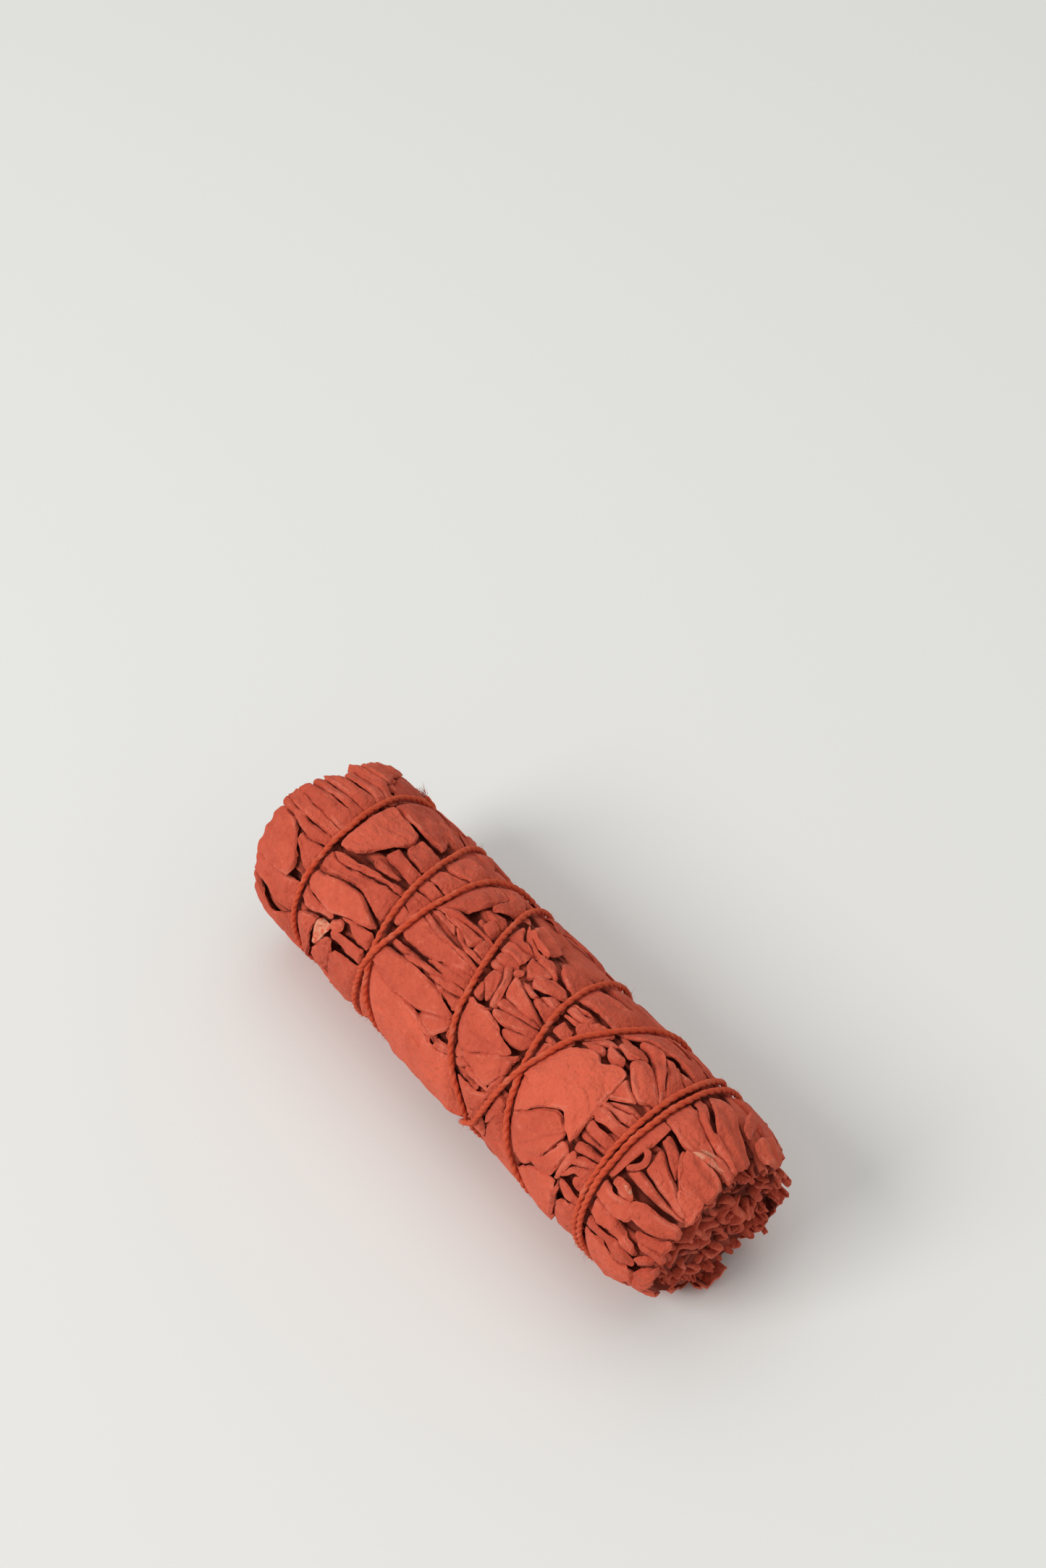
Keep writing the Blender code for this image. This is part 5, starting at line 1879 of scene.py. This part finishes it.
class Shader:
    """A material's node tree, built a node at a time."""

    def __init__(self, name: str) -> None:
        """Starts a material.

        Args:
            name: The material's name.
        """
        self.material = bpy.data.materials.new(name)
        self.material.use_nodes = True
        self.tree = self.material.node_tree
        self.surface = self.tree.nodes["Principled BSDF"]

    def node(self, kind: str, settings: dict[str, Any] | None = None, **sockets: Any) -> bpy.types.Node:
        """Adds a node.

        Args:
            kind: Blender's name for the type of node.
            settings: Its settings, which are set before its sockets.
            sockets: What goes into its inputs, by name, with _ for a space.

        Returns:
            The node.
        """
        made = self.tree.nodes.new(kind)
        for key, value in (settings or {}).items():
            setattr(made, key, value)
        self.fill(made, **sockets)
        return made

    def fill(self, node: bpy.types.Node, **sockets: Any) -> None:
        """Sets or links a node's inputs.

        Args:
            node: The node.
            sockets: What goes into its inputs, by name, with _ for a space.
        """
        for key, value in sockets.items():
            self.feed(node.inputs[key.replace("_", " ")], value)

    def feed(self, socket: Socket, value: Any) -> None:
        """Sets an input, or links something to it.

        Args:
            socket: The input.
            value: A Value, an output socket or a constant.
        """
        if isinstance(value, Value):
            value = value.socket
        if isinstance(value, Socket):
            self.tree.links.new(value, socket)
        else:
            socket.default_value = value

    def maths(self, operation: str, *inputs: Any) -> Value:
        """Adds a Math node.

        Args:
            operation: What it works out.
            inputs: The values that it works on.

        Returns:
            The result.
        """
        made = self.node("ShaderNodeMath", {"operation": operation})
        for socket, value in zip(made.inputs, inputs):
            self.feed(socket, value)
        return Value(self, made.outputs[0])

    def mix(self, share: Any, first: Any, second: Any, blend: str = "MIX") -> Socket:
        """Mixes two colours.

        Args:
            share: How much of the second, from 0 to 1.
            first: A colour.
            second: A colour.
            blend: How they are mixed.

        Returns:
            The mixed colour.
        """
        made = self.node("ShaderNodeMix", {"data_type": "RGBA", "blend_type": blend})
        self.feed(made.inputs[0], share)
        self.feed(made.inputs[6], first)
        self.feed(made.inputs[7], second)
        return made.outputs[2]

    def attribute(self, name: str) -> bpy.types.Node:
        """Reads one of the piece's own attributes."""
        return self.node("ShaderNodeAttribute", {"attribute_name": name})

    def number(self, name: str) -> Value:
        """Reads one of the piece's own attributes as a number."""
        return Value(self, self.attribute(name).outputs["Fac"])

    def place(self) -> Socket:
        """The place on the piece."""
        return self.node("ShaderNodeTexCoord").outputs["Object"]

    def noise(self, place: Any, size: float, detail: float = 2.0, roughness: float = 0.5) -> Value:
        """A cloudy texture.

        Args:
            place: Where to read it.
            size: The size of its lumps, in the units of the place.
            detail: How many finer layers it has.
            roughness: How strong they are.

        Returns:
            The texture, from 0 to 1 and mostly near 0.5.
        """
        made = self.node(
            "ShaderNodeTexNoise", Vector=place, Scale=1.0 / size, Detail=detail, Roughness=roughness)
        return Value(self, made.outputs["Fac"])

    def step(self, value: Any, low: float, high: float) -> Value:
        """Rises smoothly from 0 to 1.

        Args:
            value: Where to read the step.
            low: The value at which it starts.
            high: The value at which it ends.

        Returns:
            The step's height.
        """
        made = self.node(
            "ShaderNodeMapRange", {"interpolation_type": "SMOOTHSTEP"},
            Value=value, From_Min=low, From_Max=high)
        return Value(self, made.outputs["Result"])

    def bump(self, height: Any, distance: float, normal: Any = None) -> Socket:
        """Roughens the surface.

        Args:
            height: The relief, from 0 to 1.
            distance: How high 1 stands, in metres.
            normal: The normal to start from, if it isn't the surface's own.

        Returns:
            The new normal.
        """
        made = self.node("ShaderNodeBump", Height=height, Distance=distance, Strength=1.0)
        if normal is not None:
            self.feed(made.inputs["Normal"], normal)
        return made.outputs["Normal"]

    def dress(self, *pieces: Piece) -> None:
        """Puts the material on whole pieces.

        Args:
            pieces: The pieces.
        """
        for piece in pieces:
            piece.data.materials.clear()
            piece.data.materials.append(self.material)


class Value:
    """A number in a shader, which plain arithmetic works on."""

    def __init__(self, shader: Shader, socket: Socket) -> None:
        """Wraps an output.

        Args:
            shader: The shader that it belongs to.
            socket: The output.
        """
        self.shader = shader
        self.socket = socket

    def __add__(self, other: Any) -> Value:
        return self.shader.maths("ADD", self, other)

    __radd__ = __add__

    def __sub__(self, other: Any) -> Value:
        return self.shader.maths("SUBTRACT", self, other)

    def __rsub__(self, other: Any) -> Value:
        return self.shader.maths("SUBTRACT", other, self)

    def __mul__(self, other: Any) -> Value:
        return self.shader.maths("MULTIPLY", self, other)

    __rmul__ = __mul__

    def clamped(self) -> Value:
        """The number kept between 0 and 1."""
        return self.shader.maths("MINIMUM", self.shader.maths("MAXIMUM", self, 0.0), 1.0)


@dataclass(frozen=True)
class DyedLeaf:
    """Suede-like dyed leaf: painted shade in gaps, dust, worn rims with painted highlight, a few undyed
    spots.
    """

    dark: Colour = colour(168, 62, 44)
    light: Colour = colour(218, 98, 72)
    # Painted shade, for gaps, fold hollows and recesses.
    gap: Colour = colour(62, 12, 6)
    # Dust colour, also used for worn dye and painted highlight on rims and lips.
    dust: Colour = colour(228, 136, 112)
    undyed: Colour = colour(224, 168, 136)
    sheen: Colour = colour(255, 190, 170)

    def build(self, name: str) -> Shader:
        """Makes the material.

        Args:
            name: Its name.

        Returns:
            The shader.
        """
        shader = Shader(name)
        place = shader.place()
        # depth marks where shade is painted; edge marks worn rims and rounded lips, lightened as worn dye and
        # painted highlight.
        depth, edge = shader.number("depth"), shader.number("edge")
        tint, pale = shader.number("tint"), shader.number("pale")
        cloud = shader.noise(place, 0.006, 3.0, 0.6)
        mottle = shader.noise(place, 0.0011, 4.0, 0.65)
        grain = shader.noise(place, 0.00016, 3.0, 0.7)
        weave = shader.noise(place, 0.0006, 3.0, 0.55)
        level = (tint * 0.75 + 0.9 * (cloud - 0.5) + 0.5 * (mottle - 0.5) + 0.2).clamped()
        base = shader.mix(level, self.dark, self.light)
        # Dust patches, kept out of the painted shade.
        dusty = shader.step(mottle + 0.35 * (grain - 0.5), 0.6, 0.78) * (1.0 - depth).clamped()
        base = shader.mix(dusty * 0.4, base, self.dust)
        # Worn dye and painted highlight: rims and lips lightened towards the dust colour, outside the painted
        # shade.
        worn_and_highlit_rim = edge * shader.step(cloud + 0.4 * (mottle - 0.5), 0.5, 0.62) * (1.0 - depth).clamped()
        base = shader.mix(worn_and_highlit_rim * 0.35, base, self.dust)
        # Painted shade: gaps, folds and recesses darkened by the depth mark.
        base = shader.mix(shader.step(depth, 0.4, 1.0) * 0.8, base, self.gap)
        bare = pale * shader.step(mottle, 0.38, 0.58)
        base = shader.mix(bare, base, self.undyed)
        wrinkle = shader.maths("ABSOLUTE", shader.noise(place, 0.0028, 3.0, 0.62) - 0.5)
        coarse = shader.bump(weave, 0.00022, shader.bump(wrinkle, 0.0011))
        shader.fill(
            shader.surface, Base_Color=base, Roughness=0.96 - 0.12 * grain, Specular_IOR_Level=0.2,
            Sheen_Weight=0.12, Sheen_Roughness=0.45, Sheen_Tint=self.sheen,
            Normal=shader.bump(grain, 0.00005, coarse))
        return shader


@dataclass(frozen=True)
class DyedTwine:
    """Spun, dyed fibres with leaf dust on them."""

    deep: Colour = colour(208, 72, 42)
    bright: Colour = colour(236, 102, 66)
    dust: Colour = colour(226, 122, 94)
    sheen: Colour = colour(255, 170, 140)

    def build(self, name: str) -> Shader:
        """Makes the material.

        Args:
            name: Its name.

        Returns:
            The shader.
        """
        shader = Shader(name)
        fibre = shader.attribute("fibre").outputs["Vector"]
        place = shader.place()
        streak = shader.noise(fibre, 0.22, 3.0, 0.6)
        patch = shader.noise(place, 0.0024, 2.0)
        base = shader.mix(shader.step(streak + 0.3 * (patch - 0.5), 0.3, 0.7), self.deep, self.bright)
        base = shader.mix(shader.step(patch + 0.3 * (streak - 0.5), 0.56, 0.72) * 0.5, base, self.dust)
        shader.fill(
            shader.surface, Base_Color=base, Roughness=0.9, Specular_IOR_Level=0.2, Sheen_Weight=0.2,
            Sheen_Tint=self.sheen, Normal=shader.bump(streak, 0.00018))
        return shader


@dataclass(frozen=True)
class CutWood:
    """A woody stem with bark and a paler cut face."""

    bark: Colour = colour(120, 52, 36)
    pith: Colour = colour(206, 150, 108)

    def build(self, name: str) -> Shader:
        """Makes the material.

        Args:
            name: Its name.

        Returns:
            The shader.
        """
        shader = Shader(name)
        place = shader.place()
        stretched = shader.node("ShaderNodeMapping", Vector=place, Scale=(0.15, 1.0, 1.0)).outputs[0]
        grain = shader.noise(stretched, 0.0004, 4.0, 0.6)
        normal = shader.node("ShaderNodeNewGeometry").outputs["Normal"]
        facing = shader.node("ShaderNodeSeparateXYZ", Vector=normal).outputs[0]
        cut = shader.step(shader.maths("ABSOLUTE", facing), 0.8, 0.95)
        base = shader.mix(cut, self.bark, self.pith)
        base = shader.mix(grain * 0.6, base, self.bark)
        shader.fill(shader.surface, Base_Color=base, Roughness=0.85, Normal=shader.bump(grain, 0.00015))
        return shader


@dataclass(frozen=True)
class PlainSurface:
    """A plain pale surface, for the floor."""

    paint: Colour = colour(232, 231, 227)

    def build(self, name: str) -> Shader:
        """Makes the material.

        Args:
            name: Its name.

        Returns:
            The shader.
        """
        shader = Shader(name)
        shader.fill(shader.surface, Base_Color=self.paint, Roughness=0.9)
        return shader


@dataclass
class Studio:
    """The floor, the light and the camera, turned as in the photograph.

    Attributes:
        bundle: What is photographed.
        turn: How far the photograph is turned about the vertical, in degrees.
        pitch: How far the camera looks down, in degrees.
        away: The distance along the view to the bundle's middle, in metres.
        lens: The lens's focal length.
        photo: The photograph's width and height in pixels.
        aim: The pixel at which the bundle's middle is seen.
        sensor: The sensor's height.
        light_away: How far each light is, in metres.
        room: The room's colour.
        room_light: How bright the room is.
    """

    bundle: Bundle
    turn: float = 51.5
    pitch: float = 46.0
    away: float = 0.365
    lens: float = 50.0
    photo: tuple[int, int] = (1445, 2167)
    aim: tuple[float, float] = (702.0, 1410.0)
    sensor: float = 36.0
    light_away: float = 1.6
    room: Colour = colour(244, 246, 246)
    room_light: float = 0.5

    def turned(self, way: Vector) -> Vector:
        """Turns a direction in the photograph's own axes into the model's."""
        return Matrix.Rotation(math.radians(self.turn), 3, "Z") @ way

    def build(self) -> list[Piece]:
        """Sets up the floor, the lights and the camera."""
        return [self.floor(), *self.lights(), self.camera()]

    def floor(self) -> Piece:
        """Lays a large pale floor."""
        deselect()
        bpy.ops.mesh.primitive_plane_add(size=4.0)
        floor = bpy.context.object
        floor.name = "floor"
        PlainSurface().build("floor_paint").dress(floor)
        return floor

    def lights(self) -> list[Piece]:
        """Hangs a soft window light at the left and a weak one over it, in a pale room."""
        bpy.context.scene.view_settings.view_transform = "Standard"
        world = bpy.data.worlds.new("room")
        bpy.context.scene.world = world
        world.use_nodes = True
        background = world.node_tree.nodes["Background"]
        background.inputs["Color"].default_value = self.room
        background.inputs["Strength"].default_value = self.room_light
        made = []
        for name, way, size, power in (
            ("window", Vector((-0.7, -0.34, 0.62)), 0.75, 14.4),
            ("ceiling", Vector((0.1, 0.25, 1.0)), 1.6, 6.4),
        ):
            place = self.light_away * self.turned(way.normalized())
            deselect()
            bpy.ops.object.light_add(type="AREA", location=place)
            light = bpy.context.object
            light.name = name
            light.data.shape = "SQUARE"
            light.data.size = size
            light.data.energy = power
            light.rotation_mode = "QUATERNION"
            light.rotation_quaternion = (-place).to_track_quat("-Z", "Y")
            made.append(light)
        return made

    def camera(self) -> Piece:
        """Places the camera where the photograph was taken from."""
        deselect()
        bpy.ops.object.camera_add()
        camera = bpy.context.object
        camera.name = "photograph"
        camera.data.sensor_fit = "VERTICAL"
        camera.data.sensor_height = self.sensor
        camera.data.sensor_width = self.sensor
        camera.data.lens = self.lens
        camera.data.clip_start = 0.01
        camera.data.dof.use_dof = False
        down = math.radians(self.pitch)
        forward = self.turned(Vector((0.0, math.cos(down), -math.sin(down))))
        upward = self.turned(Vector((0.0, math.sin(down), math.cos(down))))
        right = self.turned(Vector((1.0, 0.0, 0.0)))
        pixels = self.lens / self.sensor * self.photo[1]
        aside = (self.aim[0] - 0.5 * self.photo[0]) / pixels
        above = -(self.aim[1] - 0.5 * self.photo[1]) / pixels
        middle = Vector((0.0, self.bundle.axis_y, self.bundle.axis_z))
        camera.location = middle - self.away * (forward + aside * right + above * upward)
        camera.rotation_mode = "QUATERNION"
        camera.rotation_quaternion = Matrix((right, upward, -forward)).transposed().to_quaternion()
        bpy.context.scene.camera = camera
        return camera


def place_piece(piece: Piece, slot: str, *nodes: str) -> None:
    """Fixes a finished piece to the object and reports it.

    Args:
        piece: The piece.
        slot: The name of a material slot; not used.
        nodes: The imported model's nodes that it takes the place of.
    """
    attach(piece, "root")
    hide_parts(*nodes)
    faces = sum(len(polygon.vertices) - 2 for polygon in piece.data.polygons)
    log.info("%s: %d triangles in place of %s", piece.name, faces, ", ".join(nodes))


def main() -> None:
    """Builds and dresses the bundle, then sets up the studio."""
    logging.basicConfig(level=logging.INFO, format="%(message)s")
    draw = random.Random(7)
    low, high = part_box("sprig_heart")
    bundle = Bundle(axis_y=0.5 * (low[1] + high[1]), axis_z=0.5 * (low[2] + high[2]))
    blanks = BlankStore()

    leaf = DyedLeaf().build("dyed_leaf")
    fine = LeafPress(bundle, blanks, draw)
    coarse = LeafPress(bundle, blanks, draw, cell_along=0.85, cell_across=0.36)
    layers = LeafLayers(fine, coarse)
    for number, piece in layers.build(FillLeaves(draw).leaves()).items():
        leaf.dress(piece)
        place_piece(piece, "leaf", f"sprig_{number}")
    inner = InnerLeaves(bundle, draw).build()
    leaf.dress(inner)
    place_piece(inner, "leaf", "sprig_heart")
    ends = LeafEnds(bundle, blanks, draw).build()
    leaf.dress(ends)
    place_piece(ends, "leaf", "sprig_heart")

    twine = Twine(bundle, Tube(blanks), draw).build()
    DyedTwine().build("dyed_twine").dress(twine)
    place_piece(twine, "twine", "twine")

    wood = CutWood().build("cut_wood")
    stems = tuple(f"stem_{number}" for number in range(1, 6))
    for node, stem in zip(stems, Stems(stems, draw).build()):
        wood.dress(stem)
        place_piece(stem, "stem", node)

    blanks.clear()
    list(Studio(bundle).build())


if __name__ == "__main__":
    main()
